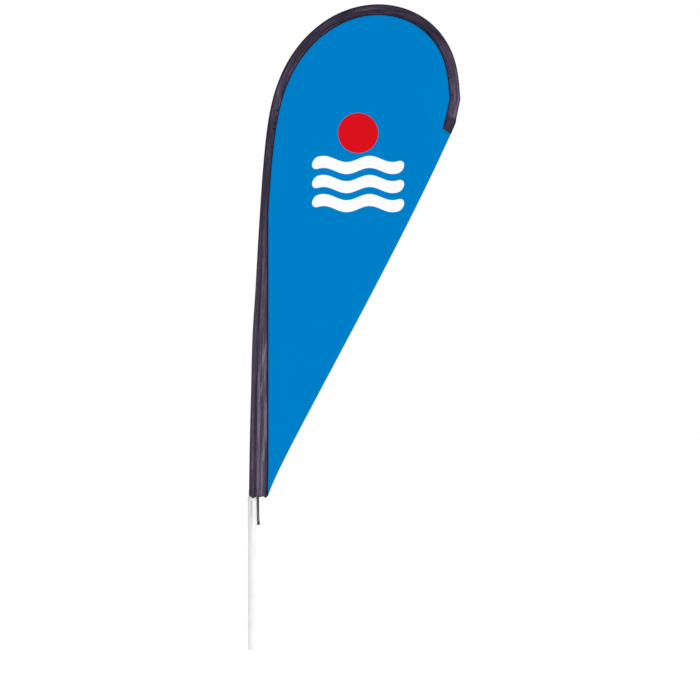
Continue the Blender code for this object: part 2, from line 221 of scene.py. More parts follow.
def makeGroup(name, inputs, outputs):
    group = bpy.data.node_groups.new(name, "ShaderNodeTree")
    for label, value in inputs.items():
        kind = "NodeSocketVector" if value is None else "NodeSocketFloat"
        socket = group.interface.new_socket(name=label, in_out="INPUT", socket_type=kind)
        if value is not None:
            socket.default_value = value
    for label in outputs:
        group.interface.new_socket(name=label, in_out="OUTPUT", socket_type="NodeSocketFloat")
    start = group.nodes.new("NodeGroupInput").outputs
    end = group.nodes.new("NodeGroupOutput").inputs
    return group, start, end

def useGroup(tree, group, **inputs):
    node = tree.nodes.new("ShaderNodeGroup")
    node.node_tree = group
    for label, value in inputs.items():
        joinValue(tree, value, node.inputs[label])
    return node.outputs

def makeWeaveGroup():
    group, start, end = makeGroup("plainWeave", {"place": None, "pitch": 0.0005}, ["height"])
    parts = addNode(group, "SeparateXYZ", start["place"]).outputs
    turns = compute(group, "DIVIDE", pi, start["pitch"])
    across = compute(group, "MULTIPLY", parts[0], turns)
    along = compute(group, "MULTIPLY", parts[1], turns)
    warp = compute(group, "ABSOLUTE", compute(group, "SINE", across))
    weft = compute(group, "ABSOLUTE", compute(group, "SINE", along))
    crossing = compute(
        group, "MULTIPLY", compute(group, "COSINE", across), compute(group, "COSINE", along)
    )
    over = compute(group, "GREATER_THAN", crossing, 0.0)
    group.links.new(mixFloat(group, over, weft, warp), end["height"])
    return group

def makeKnitGroup():
    group, start, end = makeGroup("warpKnit", {"place": None, "pitch": 0.0009}, ["height"])
    parts = addNode(group, "SeparateXYZ", start["place"]).outputs
    turns = compute(group, "DIVIDE", pi, start["pitch"])
    across = compute(group, "MULTIPLY", parts[0], turns)
    along = compute(group, "MULTIPLY", parts[2], turns)
    wale = compute(group, "ABSOLUTE", compute(group, "SINE", across))
    lean = compute(group, "ADD", compute(group, "MULTIPLY", wale, 0.9), along)
    loop = compute(group, "ABSOLUTE", compute(group, "SINE", lean))
    group.links.new(compute(group, "MULTIPLY", compute(group, "SQRT", wale), loop), end["height"])
    return group

def makeStreakGroup():
    inputs = {"place": None, "across": 300.0, "along": 12.0, "seed": 0.0}
    group, start, end = makeGroup("longStreaks", inputs, ["tone"])
    parts = addNode(group, "SeparateXYZ", start["place"]).outputs
    moved = addNode(
        group,
        "CombineXYZ",
        compute(group, "MULTIPLY", parts[0], start["across"]),
        compute(group, "MULTIPLY", parts[1], start["along"]),
        start["seed"],
    ).outputs[0]
    group.links.new(cloud(group, moved, 1.0, 4.0, 0.55), end["tone"])
    return group

def makeScuffGroup():
    inputs = {"place": None, "scale": 40.0, "amount": 0.5}
    group, start, end = makeGroup("fineScuffs", inputs, ["mask"])
    fine = cloud(group, start["place"], compute(group, "MULTIPLY", start["scale"], 9.0), 4.0, 0.6)
    broad = cloud(group, start["place"], start["scale"], 2.0, 0.5)
    mask = remap(group, compute(group, "MULTIPLY", fine, broad), 0.20, 0.42, 0.0, 1.0)
    group.links.new(compute(group, "MULTIPLY", mask, start["amount"]), end["mask"])
    return group

# Painted shadow: a grey streak painted down the front of the tube's top, where the sleeve above
# shades it.
sleeveShadowMark = {
    "x": -0.0010,
    "halfWidth": 0.0052,
    "lean": 0.004,              # shift in x for each metre down
    "top": 0.5065,
    "length": 0.098,
    "fadePower": 1.1,
    "grain": (420.0, 420.0, 30.0),
    "thinnest": 0.35,           # of the mark's strength, where the grain leaves it pale
}

def makeSleeveShadowGroup():
    group, start, end = makeGroup("paintedSleeveShadow", {"place": None}, ["mask"])
    parts = addNode(group, "SeparateXYZ", start["place"]).outputs
    below = compute(group, "SUBTRACT", sleeveShadowMark["top"], parts[2])
    middle = compute(group, "MULTIPLY_ADD", below, sleeveShadowMark["lean"], sleeveShadowMark["x"])
    away = compute(group, "ABSOLUTE", compute(group, "SUBTRACT", parts[0], middle))
    beside = remap(group, away, 0.0, sleeveShadowMark["halfWidth"], 1.0, 0.0)
    down = remap(group, below, 0.0, sleeveShadowMark["length"], 1.0, 0.0)
    fade = compute(group, "POWER", down, sleeveShadowMark["fadePower"])
    # The painted shadow lies only on the tube's front half.
    front = compute(group, "LESS_THAN", parts[1], 0.0)
    grain = cloud(group, stretched(group, start["place"], sleeveShadowMark["grain"]), 1.0)
    patchy = remap(group, grain, 0.25, 0.6, sleeveShadowMark["thinnest"], 1.0)
    mask = compute(group, "MULTIPLY", compute(group, "MULTIPLY", beside, fade), front)
    group.links.new(compute(group, "MULTIPLY", mask, patchy), end["mask"])
    return group

def makeBraidGroup():
    inputs = {"place": None, "around": 8.0, "pitch": 0.0028}
    group, start, end = makeGroup("roundBraid", inputs, ["height"])
    parts = addNode(group, "SeparateXYZ", start["place"]).outputs
    around = compute(group, "MULTIPLY", compute(group, "MULTIPLY", parts[0], start["around"]), pi)
    along = compute(group, "MULTIPLY", compute(group, "DIVIDE", parts[1], start["pitch"]), pi)
    first = compute(group, "SINE", compute(group, "ADD", around, along))
    second = compute(group, "SINE", compute(group, "SUBTRACT", around, along))
    height = compute(group, "MULTIPLY", first, second)
    group.links.new(compute(group, "ABSOLUTE", height), end["height"])
    return group

printDesign = {
    "sunX": 0.362,
    "sunZ": 1.762,
    "sunRadius": 0.0685,
    "waveHeights": (1.653, 1.588, 1.523),
    "waveHalfWidth": 0.157,
    "waveHalfThick": 0.0205,
    "waveRise": 0.0105,
    "waveLength": 0.157,
    "inkEdge": 0.0002,
    "ground": ((0.0, 0.203, 0.560), (0.0, 0.220, 0.600)),
    "waveColour": (0.97, 0.975, 0.975),
    "sunColour": (0.70, 0.006, 0.012),
}

def makePrintGroup():
    group, start, end = makeGroup("sunAndWaves", {"place": None}, ["sun", "wave"])
    parts = addNode(group, "SeparateXYZ", start["place"]).outputs
    edge = printDesign["inkEdge"]

    def inked(x, z, radius):
        spot = addNode(group, "CombineXYZ", x, 0.0, z).outputs[0]
        away = addNode(group, "VectorMath", spot, operation="LENGTH").outputs["Value"]
        return remap(group, away, radius - edge, radius + edge, 1.0, 0.0)

    fromX = compute(group, "SUBTRACT", parts[0], printDesign["sunX"])
    fromZ = compute(group, "SUBTRACT", parts[2], printDesign["sunZ"])
    group.links.new(inked(fromX, fromZ, printDesign["sunRadius"]), end["sun"])
    phase = compute(group, "MULTIPLY", fromX, tau / printDesign["waveLength"])
    rise = compute(group, "MULTIPLY", compute(group, "SINE", phase), printDesign["waveRise"])
    half = printDesign["waveHalfThick"]
    straight = printDesign["waveHalfWidth"] - half      # a wave between its round ends
    pastEnd = compute(group, "SUBTRACT", compute(group, "ABSOLUTE", fromX), straight)
    pastEnd = compute(group, "MAXIMUM", pastEnd, 0.0)
    waves = 0.0
    for height in printDesign["waveHeights"]:
        level = compute(group, "SUBTRACT", compute(group, "SUBTRACT", parts[2], height), rise)
        waves = compute(group, "MAXIMUM", waves, inked(pastEnd, level, half))
    group.links.new(waves, end["wave"])
    return group

weaveGroup = makeWeaveGroup()
knitGroup = makeKnitGroup()
streakGroup = makeStreakGroup()
scuffGroup = makeScuffGroup()
braidGroup = makeBraidGroup()
sleeveShadowGroup = makeSleeveShadowGroup()
printGroup = makePrintGroup()

def startMaterial(name, roughness, metallic=0.0, specular=0.5, coat=0.0):
    material = bpy.data.materials.new(name)
    material.use_nodes = True
    tree = material.node_tree
    shader = tree.nodes["Principled BSDF"]
    shader.inputs["Roughness"].default_value = roughness
    shader.inputs["Metallic"].default_value = metallic
    shader.inputs["Specular IOR Level"].default_value = specular
    shader.inputs["Coat Weight"].default_value = coat
    return material, tree, shader

def setSurface(tree, shader, colour, height, strength, depth, rough=None):
    tree.links.new(colour, shader.inputs["Base Color"])
    if rough:
        tree.links.new(rough, shader.inputs["Roughness"])
    bump = addNode(tree, "Bump")
    bump.inputs["Strength"].default_value = strength
    bump.inputs["Distance"].default_value = depth
    tree.links.new(height, bump.inputs["Height"])
    tree.links.new(bump.outputs["Normal"], shader.inputs["Normal"])

def darkened(tree, colour, share):
    shade = addNode(tree, "CombineColor", share, share, share).outputs[0]
    return mixColour(tree, 1.0, colour, shade, "MULTIPLY")

def objectPlace(tree):
    return addNode(tree, "TexCoord").outputs["Object"]

def clothPlace(tree):
    return addNode(tree, "UVMap", uv_map="cloth").outputs["UV"]

satin = {
    "pitch": 0.00055,
    # Painted sheen: long streaks that move the cloth's painted tone.
    "sheenStreaks": (                # across, along, seed, how far each moves the tone
        (420.0, 16.0, 0.0, 0.17),
        (230.0, 75.0, 8.0, 0.10),
        (90.0, 9.0, 4.0, 0.08),
    ),
    "threads": (0.72, 1.06),
    "cloudScale": 34.0,
    "cool": (0.90, 1.00, 1.09),
    "warm": (1.12, 0.97, 0.95),
    "rough": (0.54, 0.38),
}

def makeSatin(name, dark, middle, light, seed):
    material, tree, shader = startMaterial(name, 0.50, specular=0.10)
    place = clothPlace(tree)
    weave = useGroup(tree, weaveGroup, place=place, pitch=satin["pitch"])["height"]
    # The cloth's painted light and shade, kept on each vertex.
    tone = addNode(tree, "Attribute", attribute_name="paintedShading").outputs["Fac"]
    sheenStreaks = []
    # Painted sheen streaks along the satin.
    for across, along, shift, reach in satin["sheenStreaks"]:
        inputs = {"place": place, "across": across, "along": along, "seed": seed + shift}
        sheenStreaks.append(useGroup(tree, streakGroup, **inputs)["tone"])
        tone = compute(tree, "ADD", tone, remap(tree, sheenStreaks[-1], 0.3, 0.7, -reach, reach))
    rampNode = addNode(tree, "ValToRGB", tone)
    stops = rampNode.color_ramp.elements
    stops[0].color = opaque(dark)
    stops[1].color = opaque(light)
    stops.new(0.5).color = opaque(middle)
    threads = remap(tree, weave, 0.0, 1.0, *satin["threads"])
    colour = darkened(tree, rampNode.outputs["Color"], threads)
    tint = remap(tree, cloud(tree, objectPlace(tree), satin["cloudScale"]), 0.38, 0.62, 0.0, 1.0)
    tinted = mixColour(tree, tint, satin["cool"], satin["warm"])
    colour = mixColour(tree, 1.0, colour, tinted, "MULTIPLY")
    rough = remap(tree, sheenStreaks[0], 0.3, 0.7, *satin["rough"])
    setSurface(tree, shader, colour, weave, 0.5, 0.00012, rough)
    return material

def makeThread(name, colour, pale):
    material, tree, shader = startMaterial(name, 0.55, specular=0.3)
    grain = cloud(tree, objectPlace(tree), 2600.0, 2.0)
    setSurface(tree, shader, mixColour(tree, grain, colour, pale), grain, 0.4, 0.0001)
    return material

def makePrintedKnit():
    material, tree, shader = startMaterial("printedKnit", 0.72, specular=0.0)
    place = objectPlace(tree)
    knit = useGroup(tree, knitGroup, place=place, pitch=0.0009)["height"]
    masks = useGroup(tree, printGroup, place=place)
    fine = cloud(tree, place, 900.0, 2.0)
    colour = mixColour(tree, cloud(tree, place, 3.5), *printDesign["ground"])
    colour = mixColour(tree, masks["wave"], colour, printDesign["waveColour"])
    colour = mixColour(tree, masks["sun"], colour, printDesign["sunColour"])
    loops = remap(tree, knit, 0.0, 1.0, 0.90, 1.03)
    loops = compute(tree, "MULTIPLY", loops, remap(tree, fine, 0.3, 0.7, 0.97, 1.03))
    rough = remap(tree, fine, 0.3, 0.7, 0.66, 0.80)
    setSurface(tree, shader, darkened(tree, colour, loops), knit, 0.35, 0.00010, rough)
    return material

paints = {                      # darker and paler of each pair
    "tube": ((0.83, 0.83, 0.84), (0.89, 0.89, 0.895)),
    "tubeScuff": (0.70, 0.70, 0.71),
    "tubeSleeveShadow": (0.22, 0.19, 0.22),
    "fibre": ((0.50, 0.51, 0.47), (0.74, 0.75, 0.70)),
    "fibreStain": (0.62, 0.60, 0.50),
    "ferrule": ((0.52, 0.52, 0.54), (0.74, 0.74, 0.76)),
    "webbing": ((0.010, 0.009, 0.012), (0.040, 0.034, 0.044)),
    "braid": ((0.015, 0.008, 0.016), (0.058, 0.036, 0.062)),
    "braidFuzz": (0.075, 0.060, 0.080),
}

def makeTubeFinish():
    material, tree, shader = startMaterial("satinTube", 0.24, specular=0.6, coat=0.5)
    shader.inputs["Coat Roughness"].default_value = 0.08
    place = objectPlace(tree)
    scuffs = useGroup(tree, scuffGroup, place=place, scale=26.0, amount=0.6)["mask"]
    sleeveShadow = useGroup(tree, sleeveShadowGroup, place=place)["mask"]
    drawn = cloud(tree, stretched(tree, place, (900.0, 900.0, 14.0)), 1.0)
    colour = mixColour(tree, drawn, *paints["tube"])
    colour = mixColour(tree, scuffs, colour, paints["tubeScuff"])
    # Painted shadow of the sleeve darkens the tube's colour.
    colour = mixColour(tree, sleeveShadow, colour, paints["tubeSleeveShadow"])
    rough = remap(tree, scuffs, 0.0, 1.0, 0.20, 0.42)
    setSurface(tree, shader, colour, drawn, 0.06, 0.00005, rough)
    return material

def makePlastic(name, colour, worn, roughness, scale):
    material, tree, shader = startMaterial(name, roughness)
    place = objectPlace(tree)
    scuffs = useGroup(tree, scuffGroup, place=place, scale=scale, amount=0.8)["mask"]
    grain = cloud(tree, place, 1500.0)
    tone = mixColour(tree, scuffs, colour, worn)
    rough = remap(tree, scuffs, 0.0, 1.0, roughness, roughness + 0.2)
    setSurface(tree, shader, tone, grain, 0.25, 0.00008, rough)
    return material

def makeFibreFinish():
    material, tree, shader = startMaterial("fibreRod", 0.32, coat=0.3)
    place = clothPlace(tree)
    strands = useGroup(tree, streakGroup, place=place, across=2600.0, along=22.0, seed=3.0)["tone"]
    pale = remap(tree, strands, 0.35, 0.65, 0.0, 1.0)
    stained = remap(tree, cloud(tree, place, 30.0, 2.0), 0.55, 0.75, 0.0, 0.5)
    colour = mixColour(tree, pale, *paints["fibre"])
    colour = mixColour(tree, stained, colour, paints["fibreStain"])
    rough = remap(tree, strands, 0.3, 0.7, 0.26, 0.42)
    setSurface(tree, shader, colour, strands, 0.2, 0.00006, rough)
    return material

def makeFerruleFinish():
    material, tree, shader = startMaterial("brushedFerrule", 0.3, metallic=1.0)
    place = clothPlace(tree)
    brushed = useGroup(tree, streakGroup, place=place, across=60.0, along=5200.0, seed=1.0)["tone"]
    colour = mixColour(tree, brushed, *paints["ferrule"])
    rough = remap(tree, brushed, 0.3, 0.7, 0.22, 0.40)
    setSurface(tree, shader, colour, brushed, 0.15, 0.00004, rough)
    return material

def makeWebbingFinish():
    material, tree, shader = startMaterial("ribbedWebbing", 0.68, specular=0.25)
    weave = useGroup(tree, weaveGroup, place=clothPlace(tree), pitch=0.0011)["height"]
    colour = mixColour(tree, weave, *paints["webbing"])
    setSurface(tree, shader, colour, weave, 0.8, 0.0003)
    return material

def makeBraidFinish():
    material, tree, shader = startMaterial("braidedElastic", 0.7, specular=0.03)
    braid = useGroup(tree, braidGroup, place=clothPlace(tree), around=8.0, pitch=0.0026)["height"]
    fuzz = remap(tree, cloud(tree, objectPlace(tree), 2400.0), 0.5, 0.8, 0.0, 0.4)
    colour = mixColour(tree, braid, *paints["braid"])
    colour = mixColour(tree, fuzz, colour, paints["braidFuzz"])
    setSurface(tree, shader, colour, braid, 0.7, 0.0004)
    return material

finishes = {
    "satinTube": makeTubeFinish(),
    "fibreRod": makeFibreFinish(),
    "brushedFerrule": makeFerruleFinish(),
    "printedKnit": makePrintedKnit(),
    "ribbedWebbing": makeWebbingFinish(),
    "braidedElastic": makeBraidFinish(),
}
for name, colour, worn, rough, scale in (
    ("greyCollar", (0.74, 0.74, 0.74), (0.60, 0.60, 0.60), 0.30, 60.0),
    ("blackBush", (0.020, 0.020, 0.023), (0.07, 0.07, 0.075), 0.45, 60.0),
    ("blackCap", (0.025, 0.024, 0.028), (0.06, 0.06, 0.065), 0.42, 90.0),
    ("stopperRubber", (0.017, 0.013, 0.018), (0.050, 0.041, 0.053), 0.55, 120.0),
):
    finishes[name] = makePlastic(name, colour, worn, rough, scale)
# Satin colours from shaded through half-lit to lit, picked by the cloth's painted light and shade.
for name, dark, middle, light, seed in (
    ("sleeveSatin", (0.013, 0.009, 0.023), (0.062, 0.047, 0.078), (0.215, 0.172, 0.246), 0.0),
    ("hemSatin", (0.012, 0.008, 0.020), (0.057, 0.043, 0.072), (0.200, 0.160, 0.228), 9.0),
    # Near-black binding, which also stands in for the shadow along the seam.
    ("seamBindingAndShadow", (0.003, 0.004, 0.010), (0.007, 0.009, 0.022), (0.018, 0.021, 0.042), 17.0),
):
    finishes[name] = makeSatin(name, dark, middle, light, seed)
for name, colour, pale in (
    ("darkThread", (0.016, 0.012, 0.020), (0.050, 0.040, 0.055)),
    ("blackTackShadow", (0.003, 0.002, 0.004), (0.010, 0.008, 0.013)),
    ("blueThread", (0.0, 0.17, 0.50), (0.005, 0.25, 0.66)),
):
    finishes[name] = makeThread(name, colour, pale)
print("materials made")

# Shared ways of making pieces.

def makePiece(name, bm, finish, body, nodes=(), sharp=35.0, turnOut=True):
    if turnOut:
        bmesh.ops.recalc_face_normals(bm, faces=bm.faces)
    mesh = bpy.data.meshes.new(name)
    bm.to_mesh(mesh)
    bm.free()
    mesh.shade_smooth()
    mesh.set_sharp_from_angle(angle=radians(sharp))
    mesh.materials.append(finishes[finish])
    piece = bpy.data.objects.new(name, mesh)
    scene.collection.objects.link(piece)
    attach(piece, body)
    if nodes:
        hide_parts(*nodes)
    return piece

def gridPiece(columns, rows, placeVertex, tone=None):
    bm = bmesh.new()
    layer = bm.loops.layers.uv.new("cloth")
    bmesh.ops.create_grid(bm, x_segments=columns, y_segments=rows, size=1.0)
    paintedShadingLayer = bm.verts.layers.float.new("paintedShading") if tone else None
    cuts = {}
    for vert in bm.verts:
        column = round((vert.co.x + 1) / 2 * columns)
        row = round((vert.co.y + 1) / 2 * rows)
        place, cloth = placeVertex(column, row)
        cuts[vert] = cloth
        if tone:
            vert[paintedShadingLayer] = tone(column, row)
        vert.co = place
    for face in bm.faces:
        for loop in face.loops:
            loop[layer].uv = cuts[loop.vert]
    return bm

def clothPiece(name, bm, finish, nodes, thickness):
    piece = makePiece(name, bm, finish, "flag_head", nodes, 60.0, turnOut=False)
    wall = piece.modifiers.new("thickness", "SOLIDIFY")
    wall.thickness = thickness
    wall.offset = 0.0
    wall.use_quality_normals = True
    return piece

def turnedPiece(profile, steps):
    bm = bmesh.new()
    corners = [bm.verts.new((radius, 0.0, height)) for radius, height in profile]
    edges = [bm.edges.new(pair) for pair in zip(corners, corners[1:] + corners[:1])]
    bmesh.ops.spin(
        bm,
        geom=corners + edges,
        cent=(0.0, 0.0, 0.0),
        axis=(0.0, 0.0, 1.0),
        angle=tau,
        steps=steps,
        use_merge=True,
    )
    bmesh.ops.remove_doubles(bm, verts=bm.verts, dist=1e-6)
    return bm

def roundedCorners(points, radius, steps=3):
    spots = [Vector(point) for point in points]
    rounded = []
    for before, here, after in zip(spots[-1:] + spots, spots, spots[1:] + spots[:1]):
        toBefore = before - here
        toAfter = after - here
        cut = min(radius, toBefore.length * 0.45, toAfter.length * 0.45)
        first = here + toBefore.normalized() * cut
        last = here + toAfter.normalized() * cut
        for step in range(steps + 1):
            t = step / steps
            rounded.append(first * (1 - t) ** 2 + here * 2 * t * (1 - t) + last * t * t)
    return rounded

def bentTurning(profile, sides=28):
    def placeVertex(column, row):
        distance, radius = profile[row]
        centre, outward = lineFrame(distance)
        outward = outward.normalized()
        angle = tau * column / sides
        place = centre + radius * (cos(angle) * outward + sin(angle) * sideways)
        return place, (column / sides * tau * radius, distance)

    bm = gridPiece(sides, len(profile) - 1, placeVertex)
    bmesh.ops.remove_doubles(bm, verts=bm.verts, dist=1e-6)
    return bm

def closedTube(sides, rows, placeVertex):
    bm = gridPiece(sides, rows, placeVertex)
    bmesh.ops.remove_doubles(bm, verts=bm.verts, dist=1e-6)
    ends = [edge for edge in bm.edges if edge.is_boundary]
    bmesh.ops.holes_fill(bm, edges=ends, sides=sides)
    return bm

def faceTowards(bm, side):
    for face in bm.faces:
        face.normal_update()
    wrong = [face for face in bm.faces if face.normal.y * side < 0]
    if len(wrong) > len(bm.faces) / 2:
        bmesh.ops.reverse_faces(bm, faces=bm.faces)

def stitchRow(bm, spots, length, width):
    for place, along, normal in spots:
        across = along.cross(normal).normalized()
        turn = Matrix((along, across, normal)).transposed().to_4x4()
        size = Matrix.Diagonal((length / 2, width / 2, width * 0.4, 1.0))
        bmesh.ops.create_icosphere(
            bm,
            subdivisions=1,
            radius=1.0,
            matrix=Matrix.Translation(place) @ turn @ size,
        )

# Cords: two strands of elastic from the tab to their moulded end.

cord = {
    "diameter": 0.0040,
    "fullness": 0.00017,        # how far the braid swells past its nominal radius
    "length": 0.0865,
    "spacing": 0.0012,
    "sides": 20,
    "relief": 0.00016,
    "plaits": 4,
    "plaitTurn": 1.35,          # angle from one ring to the next
    "rootTaper": 0.55,
    "routes": {                 # from the sleeve's mouth, at the pole's middle
        "cordStrandLeft": (
            "cord_strand_left",
            (
                (0.0179, -0.0022, 0.0013),
                (0.0179, -0.0022, -0.0100),
                (0.0180, -0.0020, -0.0270),
                (0.0181, -0.0016, -0.0450),
                (0.0184, -0.0010, -0.0630),
                (0.0189, -0.0004, -0.0780),
                (0.0192, 0.0000, -0.0861),
            ),
        ),
        "cordStrandRight": (
            "cord_strand_right",
            (
                (0.0224, -0.0014, 0.0013),
                (0.0224, -0.0012, -0.0100),
                (0.0225, -0.0006, -0.0270),
                (0.0228, 0.0000, -0.0450),
                (0.0233, 0.0004, -0.0630),
                (0.0238, 0.0002, -0.0780),
                (0.0242, 0.0000, -0.0861),
            ),
        ),
    },
}

def smoothRoute(route, spacing):
    points = [Vector(point) + Vector((0.0, 0.0, pole["mouthHeight"])) for point in route]
    points = [2 * points[0] - points[1]] + points + [2 * points[-1] - points[-2]]
    samples = []
    for before, start, end, after in zip(points, points[1:], points[2:], points[3:]):
        count = max(1, round((end - start).length / spacing))
        for index in range(count):
            t = index / count
            bend = (end - before) * t
            bend += (2 * before - 5 * start + 4 * end - after) * t * t
            bend += (3 * start - before - 3 * end + after) * t ** 3
            samples.append(start + bend / 2)
    return samples + [points[-2]]

def makeStrand(name, node, route):
    path = smoothRoute(route, cord["spacing"])
    sides = cord["sides"]

    def placeVertex(column, row):
        here = path[row]
        along = (path[min(row + 1, len(path) - 1)] - path[max(row - 1, 0)]).normalized()
        across = along.cross(sideways).normalized()
        deep = across.cross(along)
        angle = tau * column / sides
        plait = angle * cord["plaits"]
        turn = row * cord["plaitTurn"]
        weave = abs(sin(plait + turn) * sin(plait - turn))
        radius = cord["diameter"] / 2 + cord["fullness"] - cord["relief"] * (1 - weave)
        if row == 0:
            radius *= cord["rootTaper"]
        place = here + radius * (cos(angle) * across + sin(angle) * deep)
        return place, (column / sides * 2, row * cord["spacing"])

    bm = closedTube(sides, len(path) - 1, placeVertex)
    strand = makePiece(name, bm, "braidedElastic", "flag_head", [node], 60.0)
    return strand, path

stopper = {
    "size": (0.0106, 0.0072, 0.0120),
    "centre": (0.0220, 0.0, 0.4307),
    "bevel": 0.0013,
    "ringStep": 0.0004,
    "waist": 0.90,
    "ribs": 4.5,
    "ribDepth": 0.05,
    "ribReach": 0.36,
    "squareness": 0.55,
    "sides": 48,
}

def stopperProfile():
    height = stopper["size"][2]
    bevel = stopper["bevel"]
    quarter = evenly(0.0, pi / 2, pi / 8)
    low = [(bevel * (1 - sin(a)), bevel * (1 - cos(a)) - height / 2) for a in quarter]
    middle = evenly(bevel - height / 2, height / 2 - bevel, stopper["ringStep"])[1:-1]
    high = [(inset, -level) for inset, level in reversed(low)]
    return low + [(0.0, level) for level in middle] + high

def makeStopper():
    profile = stopperProfile()
    sides = stopper["sides"]
    sizeX, sizeY, height = stopper["size"]
    centre = Vector(stopper["centre"])

    def placeVertex(column, row):
        inset, level = profile[row]
        share = level / height
        ribs = 0.5 + 0.5 * cos(share * tau * stopper["ribs"])
        narrow = 1 - (1 - stopper["waist"]) * cos(share * pi)
        if abs(share) < stopper["ribReach"]:
            narrow *= 1 - stopper["ribDepth"] * ribs
        angle = tau * column / sides
        across = copysign(abs(cos(angle)) ** stopper["squareness"], cos(angle))
        deep = copysign(abs(sin(angle)) ** stopper["squareness"], sin(angle))
        x = (sizeX / 2 * narrow - inset) * across
        y = (sizeY / 2 * narrow - inset) * deep
        return centre + Vector((x, y, level)), (column / sides, level)

    bm = closedTube(sides, len(profile) - 1, placeVertex)
    return makePiece(
        "cordStopper", bm, "stopperRubber", "flag_head", ["cord_stopper"], 50.0
    )

cordStopper = makeStopper()
for name, (node, route) in cord["routes"].items():
    strand, path = makeStrand(name, node, route)
    tuple(path[0])
    [tuple(point) for point in path]
print("cords made")

# Lower pole: tube, foot bush and collar.

tube = {"length": 0.5065, "radius": 0.0150, "wall": 0.0015, "edge": 0.0006}

def makeTube():
    outer = tube["radius"]
    inner = outer - tube["wall"]
    length = tube["length"]
    corners = [(inner, 0.0), (outer, 0.0), (outer, length), (inner, length)]
    bm = turnedPiece(roundedCorners(corners, tube["edge"]), 96)
    makePiece("lowerPoleTube", bm, "satinTube", "lower_pole", ["lower_pole_tube"])

makeTube()

bush = {
    "outer": 0.0132,
    "bore": 0.0082,
    "bottom": 0.001,
    "top": 0.121,
    "leadIn": 0.0016,
    "grooves": 5,
    "firstGroove": 0.018,
    "grooveStep": 0.021,
    "grooveDepth": 0.0006,
    "grooveWidth": 0.004,
    "edge": 0.0004,
}

def makeBush():
    outer = bush["outer"]
    deep = outer - bush["grooveDepth"]
    profile = [(outer, bush["bottom"])]
    for index in range(bush["grooves"]):
        low = bush["firstGroove"] + index * bush["grooveStep"]
        high = low + bush["grooveWidth"]
        profile += [(outer, low), (deep, low + bush["grooveDepth"])]
        profile += [(deep, high), (outer, high + bush["grooveDepth"])]
    profile += [(outer, bush["top"]), (bush["bore"], bush["top"])]
    profile.append((bush["bore"], bush["bottom"] + bush["leadIn"]))
    profile.append((bush["bore"] + bush["leadIn"], bush["bottom"]))
    bm = turnedPiece(roundedCorners(profile, bush["edge"], 2), 64)
    makePiece("footBush", bm, "blackBush", "lower_pole", ["foot_bush"])

makeBush()

collar = {
    "base": 0.5068,
    "flange": 0.0148,
    "flangeRadius": 0.0155,
    "break": 0.0022,
    "breakSteps": 6,
    "plugRadius": 0.0132,
    "plugLength": 0.110,
    "socket": 0.0084,
    "leadIn": 0.0008,
    "floor": 0.004,
    "drain": 0.004,
    "shadowGroove": (           # in from the rim, up from the base
        (0.0013, 0.0),
        (0.0013, 0.0010),
        (0.0003, 0.0011),
        (0.0, 0.0015),
    ),
}

def makeCollar():
    base = collar["base"]
    top = base + collar["flange"]
    bottom = base - collar["plugLength"]
    floor = bottom + collar["floor"]
    plug = collar["plugRadius"]
    rim = collar["flangeRadius"]
    socket = collar["socket"]
    profile = [(collar["drain"], bottom), (plug, bottom), (plug, base)]
    profile += [(rim - inset, base + up) for inset, up in collar["shadowGroove"]]
    for angle in evenly(0.0, pi / 2, pi / 2 / collar["breakSteps"]):
        inward = collar["break"] * (1 - cos(angle))
        below = collar["break"] * (1 - sin(angle))
        profile.append((rim - inward, top - below))
    profile += [(socket + collar["leadIn"], top), (socket, top - collar["leadIn"])]
    profile += [(socket, floor), (collar["drain"], floor)]
    bm = turnedPiece(profile, 80)
    makePiece("swivelCollar", bm, "greyCollar", "collar", ["swivel_collar"])

makeCollar()
print("lower pole made")

# Upper pole: three sections, their ferrules and end fittings.

sections = {
    "gap": 0.0003,
    "lowerEnd": 0.800,
    "middleEnd": 1.600,
    "lowerWall": 0.0018,
    "middleWall": 0.0015,
    "edge": 0.0004,
    "straightUntil": 1.0,
    "straightStep": 0.040,
    "ringStep": 0.014,
}

def polePlaces(start, end):
    cut = min(max(sections["straightUntil"], start), end)
    places = []
    if start < cut:
        places += evenly(start, cut, sections["straightStep"])
    if end > cut:
        places += evenly(cut, end, sections["ringStep"])[1 if places else 0:]
    return places

def makePoleTube(name, node, start, end, wall):
    edge = sections["edge"]
    outside = [(place, poleRadius(place)) for place in polePlaces(start + edge, end - edge)]
    inside = [(place, radius - sections[wall]) for place, radius in reversed(outside)]
    profile = [(start, outside[0][1] - edge)] + outside + [(end, outside[-1][1] - edge)]
    profile += [(end, inside[0][1] + edge / 2)] + inside + [(start, inside[-1][1] + edge / 2)]
    bm = bentTurning(profile + profile[:1])
    makePiece(name, bm, "fibreRod", "flag_head", [node])

def makeTopRod(start):
    edge = sections["edge"]
    end = pole["length"] - tipCap["wall"] - sections["gap"]
    profile = [(start, 0.0), (start, poleRadius(start) - edge)]
    profile += [(place, poleRadius(place)) for place in polePlaces(start + edge, end - edge)]
    profile += [(end, poleRadius(end) - edge), (end, 0.0)]
    bm = bentTurning(profile)
    makePiece("topRod", bm, "fibreRod", "flag_head", ["top_rod"])

ferrule = {
    "length": 0.090,
    "wall": 0.0008,
    "ringStep": 0.003,
    "crimpPlace": 0.55,         # share of the half length
    "crimpWidth": 0.003,
    "crimpDepth": 0.00035,
    "rollWidth": 0.001,
    "rollDepth": 0.00025,
}

